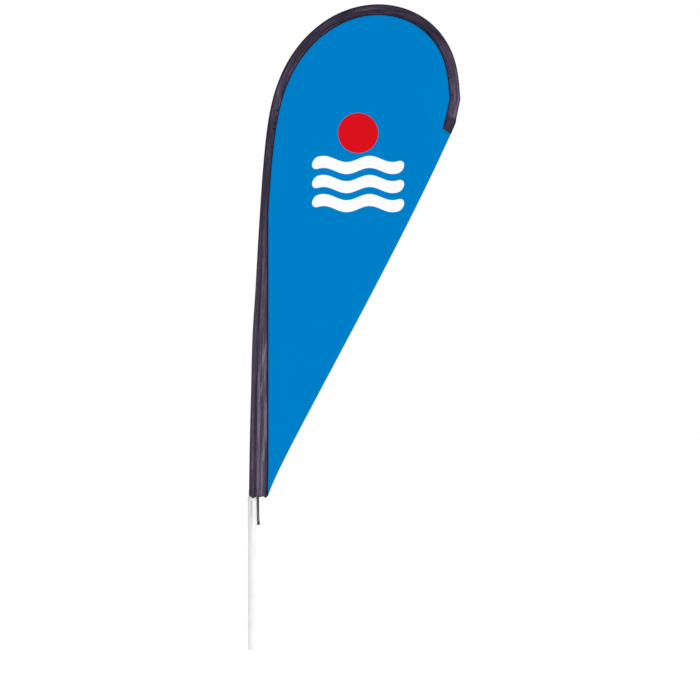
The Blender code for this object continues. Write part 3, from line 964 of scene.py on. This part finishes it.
def makeFerrule(name, node, joint):
    half = ferrule["length"] / 2
    outer = sections["gap"] + ferrule["wall"]
    crimps = (joint - half * ferrule["crimpPlace"], joint + half * ferrule["crimpPlace"])
    profile = []
    for place in evenly(joint - half, joint + half, ferrule["ringStep"]):
        crimp = sum(hump(place, centre, ferrule["crimpWidth"]) for centre in crimps)
        rolled = ferrule["rollDepth"] if abs(place - joint) > half - ferrule["rollWidth"] else 0.0
        radius = poleRadius(place) + outer - ferrule["crimpDepth"] * crimp - rolled
        profile.append((place, radius))
    inside = [(place, poleRadius(place) + sections["gap"]) for place, _ in reversed(profile)]
    bm = bentTurning(profile + inside + profile[:1])
    makePiece(name, bm, "brushedFerrule", "flag_head", [node])

endPlug = {
    "bottom": -0.1208,
    "rim": 0.003,
    "spigot": 0.014,
    "round": ((0.0, 0.0008), (0.0003, 0.0002), (0.0008, 0.0)),      # up, in
    "spigotRound": ((0.001, 0.0), (0.0, 0.0008)),                   # down, in
}

def makeEndPlug():
    bottom = endPlug["bottom"]
    rim = bottom + endPlug["rim"]
    top = rim + endPlug["spigot"]
    radius = pole["radius"]
    spigot = radius - sections["lowerWall"] - sections["gap"]
    profile = [(bottom, 0.0), (bottom, radius / 2)]
    profile += [(bottom + up, radius - inset) for up, inset in endPlug["round"]]
    profile += [(rim, radius), (rim, spigot)]
    profile += [(top - down, spigot - inset) for down, inset in endPlug["spigotRound"]]
    bm = bentTurning(profile + [(top, 0.0)])
    makePiece("poleEndPlug", bm, "blackCap", "flag_head", ["pole_end_plug"])
    return rim + sections["gap"]

tipCap = {
    "length": 0.022,
    "wall": 0.0010,
    "edge": 0.0004,
    "ringStep": 0.003,
    "dome": 0.004,
    "domeSteps": 7,
    "bluntness": 0.6,
}

def makeTipCap():
    tip = pole["length"]
    mouth = tip - tipCap["length"]
    floor = tip - tipCap["wall"]
    dome = tipCap["dome"]
    wall = sections["gap"] + tipCap["wall"]
    profile = [(mouth, poleRadius(mouth) + sections["gap"])]
    for place in evenly(mouth + tipCap["edge"], tip - dome, tipCap["ringStep"]):
        profile.append((place, poleRadius(place) + wall))
    last = poleRadius(tip) + wall
    for step in range(1, tipCap["domeSteps"]):
        angle = step / tipCap["domeSteps"] * pi / 2
        profile.append((tip - dome * (1 - sin(angle)), last * cos(angle) ** tipCap["bluntness"]))
    profile += [(tip, 0.0), (floor, 0.0), (floor, poleRadius(floor) + sections["gap"])]
    bm = bentTurning(profile + profile[:1])
    makePiece("tipCap", bm, "blackCap", "flag_head", ["tip_cap"])

def makeUpperPole():
    joint = sections["gap"] / 2
    start = makeEndPlug()
    lower = sections["lowerEnd"]
    middle = sections["middleEnd"]
    makePoleTube("lowerPoleSection", "lower_pole_section", start, lower - joint, "lowerWall")
    makePoleTube(
        "middlePoleSection", "middle_pole_section", lower + joint, middle - joint, "middleWall"
    )
    makeFerrule("lowerFerrule", "lower_ferrule", lower)
    makeFerrule("upperFerrule", "upper_ferrule", middle)
    makeTopRod(middle + joint)
    makeTipCap()

makeUpperPole()
print("upper pole made")

# Sleeve: one strip of satin folded over the pole, its two edges sewn to the flag.

sleeve = {
    "cloth": 0.0006,
    "ease": 0.0016,
    "wall": 0.0008,
    "lipHalf": 0.0007,
    "seamX": 0.0556,
    "seamLean": 0.0016,
    "leanHeight": 0.100,
    "narrow": 0.0290,
    "wide": 0.0365,
    "narrowUntil": 1.150,
    "wideFrom": 1.650,
    "endWidth": 0.0330,
    "flattens": 0.004,          # before the corner
    "tailHalf": 0.0010,
    "slackPlace": 0.53,         # where the cloth stands off the pole, how far along and out
    "slackLength": 0.12,
    "slackOut": 0.0028,
    "flatWidth": 0.145,
    "rowStep": 0.005,
    "closestRows": 0.0006,
    "layerColumns": 24,
    "archColumns": 14,
}
sleeveColumns = 2 * sleeve["layerColumns"] + sleeve["archColumns"]
archShare = sleeve["archColumns"] / sleeveColumns

darts = {
    "start": 1.196,
    "step": 0.0630,
    "count": 19,
    "length": 0.0105,
    "depth": 0.0022,
    "width": 0.0014,
    "ridgeAfter": 0.0032,
    "ridgeWidth": 0.0018,
    "reach": 0.010,
    "ridge": 0.5,               # share of the depth
    "fade": (0.6, 1.0),         # shares of the length
    "shade": 0.55,
    "shadeWidth": 0.0016,
    "shadeFade": (0.7, 1.2),
    "rows": (0.0, -0.0007, 0.0007, -0.0014, 0.0014, 0.0022, -0.0026, 0.0032, 0.0044),
}
dartSpots = [darts["start"] + darts["step"] * index for index in range(darts["count"])]

# Creases and their painted light and shade. Heights are in metres, and the painted tones run from
# 0, dark, to 1, pale.

creases = {
    "slackUntil": (0.55, 0.95),     # the loose lower cloth gives way to a smooth fit
    "curlFrom": (1.1, 1.4),         # and that to the tight curve
    "archScale": (3.2, 9.0, 5.0),   # round the pole, along it, seed
    "archSwell": 0.0002,
    "archSwellShading": 0.25,
    # archShade: painted shade on the arch's outer edge, which turns away from the light.
    "archShade": (0.14, 0.60),      # everywhere, and more on the curve
    "streak": (150, 4.5, 9, 7.3, 0.0),      # across, along, more along on the curve, seeds
    "streakHeight": 0.0008,
    "streakShading": 0.46,
    "fine": (430, 11, 12, 3.1, 9.0),
    "fineHeight": 0.0003,
    "fineShading": 0.30,
    "foldShading": 190,
    "belly": 0.0018,
    "bellySkew": 0.8,
    "dip": (0.0072, 0.0034),        # beside the pole: place, half width
    "dipDepth": 0.0021,
    "dipShade": (0.0080, 0.0038),
    "dipShading": 0.42,
    "gather": 0.0006,
    "pucker": 0.00022,              # at the seam
    "puckerAlong": 130,
    "puckerWidth": 0.008,
    "firmSeam": 0.007,
    "firmRoot": 0.006,
    "seamShading": 0.25,
    "curveShare": 0.6,              # how much of the creasing is left on the curve
    "tailLength": 0.03,
    "tailShare": 0.35,              # and past the pole's tip
    "rodGap": 0.0012,
    "toneUntil": 1.1,
    "contrast": (1.05, 0.75),
    "level": (0.56, 0.30),
}
alongTone = (                      # distance, how much paler the cloth is made there; below 0, darker
    (0.00, -0.17),
    (0.12, 0.01),
    (0.50, 0.10),
    (0.75, 0.11),
    (0.90, 0.02),
    (1.10, -0.05),
    (1.25, 0.00),
    (1.38, 0.13),
    (1.52, 0.00),
    (1.65, -0.03),
    (1.88, -0.05),
    (2.12, 0.02),
    (2.22, 0.23),
    (2.405, 0.30),
    (2.415, 0.02),
    (2.50, 0.02),
)
# Folds on the front layer, -1, and the back one, 1: across and along at both ends, half
# width, height.
foldLines = {
    -1: (
        (0.0200, 0.00, 0.0245, 0.34, 0.0035, 0.0010),
        (0.0330, -0.02, 0.0400, 0.31, 0.0028, 0.0008),
        (0.0465, 0.03, 0.0470, 0.30, 0.0020, 0.0006),
        (0.0270, 0.10, 0.0310, 0.42, 0.0022, -0.0009),
        (0.0185, 0.43, 0.0480, 0.57, 0.0034, 0.0015),
        (0.0160, 0.32, 0.0440, 0.48, 0.0030, 0.0011),
        (0.0240, 0.39, 0.0500, 0.50, 0.0022, -0.0010),
        (0.0185, 0.52, 0.0175, 0.68, 0.0020, -0.0011),
        (0.0290, 0.58, 0.0350, 0.78, 0.0028, 0.0009),
        (0.0150, 0.72, 0.0240, 0.95, 0.0024, 0.0007),
    ),
    1: (
        (0.0180, 0.00, 0.0260, 0.28, 0.0034, 0.0011),
        (0.0380, 0.02, 0.0330, 0.33, 0.0028, 0.0009),
        (0.0220, 0.30, 0.0440, 0.45, 0.0030, 0.0013),
        (0.0300, 0.36, 0.0480, 0.55, 0.0024, -0.0010),
        (0.0170, 0.50, 0.0400, 0.66, 0.0032, 0.0011),
        (0.0260, 0.66, 0.0240, 0.86, 0.0026, 0.0008),
    ),
}
foldSpan = (-0.25, 0.15, 0.85, 1.25)    # shares of a line: fold starts, is full, sinks, ends

def lipDistance(distance):
    centre, outward = lineFrame(distance)
    width = ramp(
        distance, sleeve["narrowUntil"], sleeve["wideFrom"], sleeve["narrow"], sleeve["wide"]
    )
    width = ramp(distance, tailBend, tailEnd, width, sleeve["endWidth"])
    along = width - poleRadius(distance) - sleeve["ease"] - sleeve["wall"]
    if outward.x > -0.5:        # on the curve, where the seam leaves the upright
        return along
    height = centre.z - pole["mouthHeight"]
    seam = sleeve["seamX"] - ramp(height, 0.0, sleeve["leanHeight"], sleeve["seamLean"], 0.0)
    return max(along, (seam - centre.x) / -outward.x)

def clothReach(distance):
    standOff = sleeve["slackOut"] * hump(distance, sleeve["slackPlace"], sleeve["slackLength"])
    return poleRadius(distance) + sleeve["ease"] + sleeve["wall"] / 2 + standOff

def clothDepth(distance):
    start = corner - sleeve["flattens"]
    return softRamp(distance, start, tailBend, clothReach(distance), sleeve["tailHalf"])

def foldHeight(across, distance, side):
    rise, full, ebb, gone = foldSpan
    total = 0.0
    for startX, startS, endX, endS, width, height in foldLines[side]:
        share = (distance - startS) / (endS - startS)
        if rise < share < gone:
            fade = softRamp(share, rise, full, 0.0, 1.0) * softRamp(share, ebb, gone, 1.0, 0.0)
            centre = startX + (endX - startX) * share
            total += height * fade * hump(across, centre, width)
    return total

def dartHeight(fromLip, distance):
    start, end = darts["fade"]
    fade = softRamp(fromLip, darts["length"] * start, darts["length"] * end, 1.0, 0.0)
    total = 0.0
    for spot in dartSpots:
        if abs(distance - spot) < darts["reach"]:
            groove = hump(distance, spot, darts["width"])
            ridge = hump(distance, spot + darts["ridgeAfter"], darts["ridgeWidth"])
            total += fade * darts["depth"] * (darts["ridge"] * ridge - groove)
    return total

def dartShadow(fromLip, distance):
    start, end = darts["shadeFade"]
    fade = softRamp(fromLip, darts["length"] * start, darts["length"] * end, 1.0, 0.0)
    near = min(abs(distance - spot) for spot in dartSpots)
    return darts["shade"] * fade * hump(near, 0.0, darts["shadeWidth"])

def crease(kind, across, distance, curl, side):
    acrossScale, alongScale, alongMore, turned, shift = creases[kind]
    along = distance * (alongScale + alongMore * curl)
    return noise.noise(Vector((across * acrossScale, along, turned * side + shift)))

def archShape(angle, distance, side, curl):
    reach = clothReach(distance)
    angleScale, alongScale, seed = creases["archScale"]
    ripple = noise.noise(Vector((angle * angleScale, distance * alongScale, seed * side)))
    swell = creases["archSwell"] * ripple
    out = (reach + swell) * cos(angle)
    deep = (clothDepth(distance) + swell) * sin(angle)
    always, onCurve = creases["archShade"]
    # Painted light on the swells, and painted shade towards the arch's outer edge.
    tone = creases["archSwellShading"] * ripple - (always + onCurve * curl) * cos(angle)
    return -reach * cos(angle), out, deep, tone

def layerShape(t, distance, side, curl):
    lip = lipDistance(distance)
    across = t * lip
    radius = poleRadius(distance)
    slack = softRamp(distance, *creases["slackUntil"], 1.0, 0.0)
    tail = pole["length"] + creases["tailLength"]
    loose = softRamp(distance, pole["length"], tail, 1.0, creases["tailShare"])
    loose *= creases["curveShare"] + (1 - creases["curveShare"]) * slack
    edge = min(1.0, (lip - across) / creases["firmSeam"])
    root = min(1.0, across / creases["firmRoot"])
    streak = crease("streak", across, distance, curl, side)
    fine = crease("fine", across, distance, curl, side)
    folds = foldHeight(across, distance, side)
    gather = curl * t * sin(tau * (distance - dartSpots[0]) / darts["step"])
    pucker = noise.noise(Vector((distance * creases["puckerAlong"], 2.0, side)))
    fall = 1 - 1.5 * t * t + 0.5 * t ** 3       # as a strip bends under its own weight
    deep = sleeve["lipHalf"] + (clothDepth(distance) - sleeve["lipHalf"]) * fall
    deep += slack * creases["belly"] * sin(pi * t ** creases["bellySkew"])
    deep -= slack * creases["dipDepth"] * hump(across, *creases["dip"])
    lift = creases["streakHeight"] * streak + creases["fineHeight"] * fine + folds
    deep += edge * root * loose * (lift - creases["gather"] * gather)
    deep += creases["pucker"] * pucker * hump(across, lip, creases["puckerWidth"])
    deep = max(deep + dartHeight(lip - across, distance), sleeve["lipHalf"])
    if across < radius and distance < pole["length"]:
        deep = max(deep, sqrt(radius ** 2 - across ** 2) + creases["rodGap"])
    # Painted light on the crests of the creases and folds, painted shade in their hollows, in the
    # darts, in the dip beside the pole and near the seam.
    tone = creases["streakShading"] * streak + creases["fineShading"] * fine
    tone += creases["foldShading"] * folds - dartShadow(lip - across, distance)
    tone -= creases["dipShading"] * slack * hump(across, *creases["dipShade"])
    tone -= creases["seamShading"] * (1 - edge) * (1 - slack)
    return across, -across, deep, tone

mouth = {
    "flare": {-1: 0.0068, 1: 0.00544},
    "flareHeight": 0.030,
    "flarePlace": 0.004,
    "flareWidth": 0.0125,
    "dropHeight": 0.05,
    "collarReach": 0.0160,      # no cloth hangs this near the pole's middle
    "drops": {                  # how low, across, half width
        -1: (
            (0.0054, 0.0048, 0.0055),
            (-0.0016, 0.0300, 0.0100),
            (0.0058, 0.0460, 0.0038),
            (-0.0030, -0.0104, 0.0045),
        ),
        1: ((0.0022, 0.0260, 0.0100), (-0.0020, -0.0104, 0.0045)),
    },
}

def mouthFlare(across, distance, side):
    share = max(0.0, 1 - distance / mouth["flareHeight"]) ** 2
    return mouth["flare"][side] * share * hump(across, mouth["flarePlace"], mouth["flareWidth"])

def mouthDrop(across, deep, distance, side):
    drop = sum(low * hump(across, place, width) for low, place, width in mouth["drops"][side])
    if hypot(across, deep) < mouth["collarReach"]:
        drop = min(drop, 0.0)
    return drop * max(0.0, 1 - distance / mouth["dropHeight"]) ** 2

def sleeveShape(turn, distance):
    centre, outward = lineFrame(distance)
    side = -1 if turn < 0 else 1
    share = abs(turn)
    curl = softRamp(distance, *creases["curlFrom"], 0.0, 1.0)
    if share <= archShare:
        angle = share / archShare * pi / 2
        across, out, deep, tone = archShape(angle, distance, side, curl)
    else:
        t = (share - archShare) / (1 - archShare)
        across, out, deep, tone = layerShape(t, distance, side, curl)
    deep += mouthFlare(across, distance, side)
    place = centre + out * outward + side * deep * sideways
    place.z -= mouthDrop(across, deep, distance, side)
    contrast = ramp(distance, 0.0, creases["toneUntil"], *creases["contrast"])
    level = ramp(distance, 0.0, creases["toneUntil"], *creases["level"])
    tone = level + contrast * tone + readOff(alongTone, distance)
    return place, min(max(tone, 0.0), 1.0)

def skinDirection(turn, distance):
    outward = lineFrame(distance)[1].normalized()
    angle = min(abs(turn) / archShare, 1.0) * pi / 2
    side = -1 if turn < 0 else 1
    return cos(angle) * outward + side * sin(angle) * sideways

def sleevePoint(turn, distance, lift):
    place = sleeveShape(turn, distance)[0]
    step = 0.004 if turn < 0.99 else -0.004
    aside = (sleeveShape(turn + step, distance)[0] - place) / step
    ahead = 0.0008 if distance < tailEnd - 0.001 else -0.0008
    onward = (sleeveShape(turn, distance + ahead)[0] - place) / ahead
    skin = skinDirection(turn, distance)
    normal = onward.cross(aside).normalized()
    if normal.dot(skin) < 0:
        normal = -normal
    return place + lift * skin, onward.normalized(), normal

def sleeveRows(start, end, step, spots=()):
    rows = evenly(start, end, step)
    rows += [spot + mark for spot in spots for mark in darts["rows"]]
    rows += [pole["length"], corner, tailBend]
    rows = sorted(place for place in rows if start <= place <= end)
    kept = [rows[0]]
    for place in rows[1:]:
        if place - kept[-1] > sleeve["closestRows"]:
            kept.append(place)
    kept[-1] = end
    return kept

def sleeveStrip(name, node, rows, lift, finish):
    def placeVertex(column, row):
        turn = 2 * column / sleeveColumns - 1
        place = sleeveShape(turn, rows[row])[0] + lift * skinDirection(turn, rows[row])
        return place, (turn * sleeve["flatWidth"] / 2, rows[row])

    # Painted light and shade of the cloth at each vertex.
    def tone(column, row):
        return sleeveShape(2 * column / sleeveColumns - 1, rows[row])[1]

    bm = gridPiece(sleeveColumns, len(rows) - 1, placeVertex, tone)
    bmesh.ops.reverse_faces(bm, faces=bm.faces)
    return clothPiece(name, bm, finish, [node], sleeve["cloth"])

longRows = sleeveRows(0.0, tailEnd, sleeve["rowStep"], dartSpots)
poleSleeve = sleeveStrip("poleSleeve", "pole_sleeve", longRows, 0.0, "sleeveSatin")
print("sleeve made")

hem = {
    "height": 0.023,
    "rowStep": 0.0015,
    "patch": 0.050,
    "patchRowStep": 0.0025,
    "lift": 0.00072,
}
patchStart = tailEnd - hem["patch"]

def makeBand(name, node, start, end, step):
    rows = sleeveRows(start, end, step)
    return sleeveStrip(name, node, rows, hem["lift"], "hemSatin")

mouthBand = makeBand("mouthBand", "mouth_band", 0.0, hem["height"], hem["rowStep"])
endPatch = makeBand("endPatch", "end_patch", patchStart, tailEnd, hem["patchRowStep"])
print("hem band and end patch made")

# Flag: knitted cloth with a printed sun and waves, hemmed down its free edge.

panel = {
    "cloth": 0.0005,
    "tuck": 0.005,
    "tuckBehind": 0.0008,
    "footRise": 0.0022,
    "footWidth": 0.0012,
    "gap": 0.0003,
    "leechTop": (0.385, radians(-2.4)),
    "leechFoot": (0.084, radians(-11.8)),
    "columns": 84,
    "rows": 230,
    "fanRows": 30,
    "fanFrom": 0.88,
    "billow": 0.0030,
    "ripples": ((5.2, 2.3, 0.0), (-1.4, 3.1, 0.7)),     # along x, along z, start
    "flatBeside": (0.02, 0.25),     # shares of the width from the seam
    "flatBelow": (0.0, 0.25),       # shares of the free edge up from the foot
    "flatAbove": (0.72, 0.88),
}

def leechEnds():
    centre, outward = lineFrame(tailEnd)
    below = panel["gap"] * sideways.cross(outward)
    top = centre + (clothReach(tailEnd) + sleeve["wall"] / 2) * outward + below
    footCentre, footOut = lineFrame(panel["footRise"])
    foot = footCentre - (lipDistance(panel["footRise"]) + panel["gap"]) * footOut
    return top, foot + Vector((panel["footWidth"], 0.0, 0.0))

leechTop, leechFoot = leechEnds()

def leechPoint(share):
    t = 1 - share
    u = share
    chord = leechFoot - leechTop
    straight = atan2(chord.x, chord.z)
    reachTop, turnTop = panel["leechTop"]
    reachFoot, turnFoot = panel["leechFoot"]
    first = leechTop + reachTop * chord.length * headingVector(straight + turnTop)
    second = leechFoot - reachFoot * chord.length * headingVector(straight + turnFoot)
    return u ** 3 * leechTop + 3 * u * u * t * first + 3 * u * t * t * second + t ** 3 * leechFoot

def panelRows():
    spread = panel["rows"]
    fan = panel["fanRows"]
    rows = []
    for index in range(spread + 1):
        share = index / spread
        distance = panel["footRise"] + (tailEnd - panel["footRise"]) * share
        rows.append((distance, panel["fanFrom"] * share, 0.0))
    for index in range(1, fan + 1):
        rows.append((tailEnd, panel["fanFrom"] + (1 - panel["fanFrom"]) * index / fan, 0.0))
    return rows + [(tailEnd, 1.0, panel["tuck"])]

def panelLift(place, share):
    lift = panel["billow"] * softRamp(share, *panel["flatBelow"], 0.0, 1.0)
    lift *= softRamp(share, *panel["flatAbove"], 1.0, 0.0)
    for alongX, alongZ, start in panel["ripples"]:
        lift *= sin(alongX * place.x + alongZ * place.z + start)
    return lift

def panelPoint(across, distance, leechShare, tucked):
    centre, outward = lineFrame(distance)
    inner = centre - (lipDistance(distance) - panel["tuck"]) * outward
    outer = leechPoint(leechShare)
    if tucked:
        up = Vector((-outward.z, 0.0, outward.x)) * tucked
        inner += up
        outer += up - panel["tuckBehind"] * outward
    place = inner.lerp(outer, across)
    place.y += panelLift(place, leechShare) * softRamp(across, *panel["flatBeside"], 0.0, 1.0)
    return place

def makePanel():
    rows = panelRows()
    columns = panel["columns"]

    def placeVertex(column, row):
        place = panelPoint(column / columns, *rows[row])
        return place, (place.x, place.z)

    bm = gridPiece(columns, len(rows) - 1, placeVertex)
    bmesh.ops.remove_doubles(bm, verts=bm.verts, dist=1e-6)
    return clothPiece("flagPanel", bm, "printedKnit", ["flag_panel"], panel["cloth"])

edgeHem = {
    "start": 0.012,             # shares of the free edge up from the foot
    "end": 0.9965,
    "fullFrom": 0.05,
    "narrow": 0.35,
    "rows": 300,
    "cloth": 0.00035,
    "profile": (                # in from the edge, back from the flag's middle
        (0.0006, 0.00022),
        (0.0002, 0.00040),
        (0.0006, 0.00062),
        (0.0040, 0.00072),
        (0.0085, 0.00068),
        (0.0110, 0.00052),
    ),
}

def leechFrame(share):
    here = leechPoint(share)
    ahead = leechPoint(min(share + 0.002, 1.0)) - leechPoint(max(share - 0.002, 0.0))
    along = ahead.normalized()
    inward = Vector((-along.z, 0.0, along.x))
    return here, along, inward

def hemNarrowing(share):
    return softRamp(share, edgeHem["start"], edgeHem["fullFrom"], edgeHem["narrow"], 1.0)

def makeLeechHem():
    profile = edgeHem["profile"]
    rows = edgeHem["rows"]

    def placeVertex(column, row):
        share = edgeHem["start"] + (edgeHem["end"] - edgeHem["start"]) * row / rows
        here, _, inward = leechFrame(share)
        inset, deep = profile[column]
        place = here + inset * hemNarrowing(share) * inward
        place.y += deep + panelLift(place, share)
        return place, (place.x, place.z)

    bm = gridPiece(len(profile) - 1, rows, placeVertex)
    faceTowards(bm, 1)
    return clothPiece("leechHem", bm, "printedKnit", (), edgeHem["cloth"])

flagPanel = makePanel()
leechHem = makeLeechHem()
print("flag made")

# Binding over the raw seam, a near-black strip that also stands in for the shadow along the seam,
# and the stitches.

binding = {
    "insets": (0.0046, 0.0032, 0.0018, 0.0002),     # from the lip back over the sleeve
    "narrow": 0.62,
    "narrowing": (0.80, 1.10),
    "ends": (0.003, 0.001),
    "outside": 0.0005,
    "outsideDepth": 0.00100,
    "outsideRise": 0.6,         # share of the bands' lift
    "lift": 0.00042,
    "bandLift": 0.00125,
    "bandBlend": 0.004,
    "cloth": 0.0003,
}

def turnAt(across, distance, side):
    return side * (archShare + (1 - archShare) * across / lipDistance(distance))

def overBands(distance):
    blend = binding["bandBlend"]
    overMouth = softRamp(distance, hem["height"], hem["height"] + blend, 1.0, 0.0)
    return overMouth + softRamp(distance, patchStart - blend, patchStart, 0.0, 1.0)

def makeBinding(name, side):
    first, last = binding["ends"]
    rows = [distance for distance in longRows if first < distance < tailEnd - last]
    insets = binding["insets"]

    def placeVertex(column, row):
        distance = rows[row]
        lip = lipDistance(distance)
        raised = overBands(distance) * binding["bandLift"]
        if column < len(insets):
            narrow = ramp(distance, *binding["narrowing"], 1.0, binding["narrow"])
            turn = turnAt(lip - narrow * insets[column], distance, side)
            lift = binding["lift"] + raised
            place = sleeveShape(turn, distance)[0] + lift * skinDirection(turn, distance)
            return place, (-insets[column], distance)
        centre, outward = lineFrame(distance)
        place = centre - (lip + binding["outside"]) * outward
        place.y += side * (binding["outsideDepth"] + binding["outsideRise"] * raised)
        return place, (binding["outside"], distance)

    bm = gridPiece(len(insets), len(rows) - 1, placeVertex, lambda column, row: 0.5)
    faceTowards(bm, side)
    return clothPiece(name, bm, "seamBindingAndShadow", (), binding["cloth"])

frontBinding = makeBinding("frontSeamBinding", -1)
backBinding = makeBinding("backSeamBinding", 1)

stitching = {
    "pitch": 0.0042,
    "length": 0.0030,
    "width": 0.00055,
    "seamInset": 0.0064,
    "seamEnds": (0.006, 0.003),
    "seamLift": 0.0005,
    "hemRows": (0.0030, 0.0200),        # up from the mouth
    "hemCount": 34,
    "patchRows": (0.047, 0.004),        # back from the sleeve's end
    "patchCount": 20,
    "hemTurn": 0.96,
    "hemLift": 0.0004,
    "tackInset": 0.0042,
    "tackCount": 8,
    "tackStep": 0.00100,
    "tackLength": 0.0026,
    "tackWidth": 0.00095,
    "tackLift": 0.00035,
    "leechInset": 0.0090,
    "leechWidth": 0.00045,
    "leechSkip": (6, 2),                # stitches left out at the foot and the top
    "leechDepth": {-1: 0.00032, 1: 0.00090},
}

def seamSpots(side):
    first, last = stitching["seamEnds"]
    for distance in evenly(first, tailEnd - last, stitching["pitch"]):
        turn = turnAt(lipDistance(distance) - stitching["seamInset"], distance, side)
        banded = distance < hem["height"] or distance > patchStart
        yield sleevePoint(turn, distance, stitching["seamLift"] + banded * hem["lift"])

def hemSpots(distance, count):
    reach = stitching["hemTurn"]
    for turn in evenly(-reach, reach, 2 * reach / count):
        place, onward, normal = sleevePoint(turn, distance, hem["lift"] + stitching["hemLift"])
        yield place, onward.cross(normal).normalized(), normal

def hemSpotRows():
    rows = [(distance, stitching["hemCount"]) for distance in stitching["hemRows"]]
    rows += [(tailEnd - back, stitching["patchCount"]) for back in stitching["patchRows"]]
    return [hemSpots(distance, count) for distance, count in rows]

def tackSpots(spot, side):
    for index in range(stitching["tackCount"]):
        across = lipDistance(spot) - stitching["tackInset"] - index * stitching["tackStep"]
        yield sleevePoint(turnAt(across, spot, side), spot, stitching["tackLift"])

def leechSpots(side):
    count = round((leechTop - leechFoot).length / stitching["pitch"])
    foot, top = stitching["leechSkip"]
    for index in range(foot, count - top):
        share = index / count
        here, along, inward = leechFrame(share)
        place = here + stitching["leechInset"] * hemNarrowing(share) * inward
        place.y += side * stitching["leechDepth"][side] + panelLift(place, share)
        yield place, along, Vector((0.0, side, 0.0))

def makeStitches(name, thread, slot, rows, length, width):
    bm = bmesh.new()
    for spots in rows:
        stitchRow(bm, spots, length, width)
    return makePiece(name, bm, thread, "flag_head", (), 80.0)

sides = (-1, 1)
size = (stitching["length"], stitching["width"])
tackSize = (stitching["tackLength"], stitching["tackWidth"])
leechSize = (stitching["length"], stitching["leechWidth"])
seamRows = [seamSpots(side) for side in sides]
seamStitches = makeStitches("seamStitches", "darkThread", "band_cloth", seamRows, *size)
hemStitches = makeStitches("hemStitches", "darkThread", "band_cloth", hemSpotRows(), *size)
# Black tacks in the darts, which also stand in for the shadow in each dart's opening.
tacks = [tackSpots(spot, side) for side in sides for spot in dartSpots]
dartStitches = makeStitches("dartStitches", "blackTackShadow", "band_cloth", tacks, *tackSize)
leechRows = [leechSpots(side) for side in sides]
leechStitches = makeStitches("leechStitches", "blueThread", "flag_cloth", leechRows, *leechSize)
print("binding and stitches made")

# Tab: webbing folded over the strands' looped top and caught in the seam.

tab = {
    "left": 0.0130,
    "width": 0.012,
    "columns": 8,
    "rise": 0.0016,
    "height": 0.022,
    "middle": -0.0030,
    "halfDepth": 0.0038,
    "bendHeight": 0.0040,
    "bendDepth": 0.0034,
    "slimming": 0.86,
    "cloth": 0.0011,
}

def makeTab():
    left = tab["left"]
    right = left + tab["width"]
    bottom = pole["mouthHeight"] + tab["rise"]
    top = bottom + tab["height"]
    bend = bottom + tab["bendHeight"]
    loop = [(tab["middle"] - tab["halfDepth"], top)]
    for angle in evenly(pi, tau, pi / 8):
        y = tab["middle"] + tab["halfDepth"] * cos(angle)
        loop.append((y, bend + tab["bendDepth"] * sin(angle)))
    loop.append((tab["middle"] + tab["halfDepth"], top))

    def placeVertex(column, row):
        y, z = loop[row]
        x = left + tab["width"] * column / tab["columns"]
        y *= ramp(x, left - 0.001, right + 0.001, 1.0, tab["slimming"])
        return Vector((x, y, z)), (x, row * 0.002)

    bm = gridPiece(tab["columns"], len(loop) - 1, placeVertex)
    clothPiece("cordTab", bm, "ribbedWebbing", ["cord_tab"], tab["cloth"])

makeTab()
print("tab made")

# Floor, light and white surroundings.

def makeFloor():
    bm = bmesh.new()
    bmesh.ops.create_grid(bm, x_segments=8, y_segments=8, size=studio["floorSize"] / 2)
    bmesh.ops.translate(bm, vec=(0.0, 0.0, -studio["floorDrop"]), verts=bm.verts)
    mesh = bpy.data.meshes.new("studioFloor")
    bm.to_mesh(mesh)
    bm.free()
    material, tree, shader = startMaterial("paleFloor", 0.75, specular=0.1)
    soft = cloud(tree, objectPlace(tree), 1.4, 2.0)
    tone = mixColour(tree, soft, (0.90, 0.90, 0.90), (0.93, 0.93, 0.93))
    tree.links.new(tone, shader.inputs["Base Color"])
    shader.inputs["Emission Color"].default_value = (1.0, 1.0, 1.0, 1.0)
    shader.inputs["Emission Strength"].default_value = studio["floorGlow"]
    mesh.materials.append(material)
    floor = bpy.data.objects.new("studioFloor", mesh)
    scene.collection.objects.link(floor)

def makeSurroundings():
    world = bpy.data.worlds.new("whiteStudio")
    world.use_nodes = True
    scene.world = world
    tree = world.node_tree
    tree.nodes.clear()
    seen = addNode(tree, "Background", (1.0, 1.0, 1.0, 1.0), 1.0)
    fill = addNode(tree, "Background", (1.0, 1.0, 1.0, 1.0), studio["fillStrength"])
    sight = addNode(tree, "LightPath")
    mixed = addNode(tree, "MixShader")
    tree.links.new(sight.outputs["Is Camera Ray"], mixed.inputs[0])
    tree.links.new(fill.outputs[0], mixed.inputs[1])
    tree.links.new(seen.outputs[0], mixed.inputs[2])
    out = addNode(tree, "OutputWorld")
    tree.links.new(mixed.outputs[0], out.inputs["Surface"])

def makeKeyLight():
    data = bpy.data.lights.new("keyLight", "SUN")
    data.energy = studio["keyStrength"]
    data.angle = studio["keySpread"]
    lamp = bpy.data.objects.new("keyLight", data)
    turn = studio["keyTurn"]
    height = studio["keyHeight"]
    towards = Vector((sin(turn) * cos(height), -cos(turn) * cos(height), sin(height)))
    lamp.location = studio["keyDistance"] * towards
    lamp.rotation_mode = "QUATERNION"
    lamp.rotation_quaternion = towards.to_track_quat("Z", "Y")
    scene.collection.objects.link(lamp)

makeFloor()
makeSurroundings()
makeKeyLight()
scene.view_settings.view_transform = "Standard"
scene.view_settings.look = "None"
print("studio made")
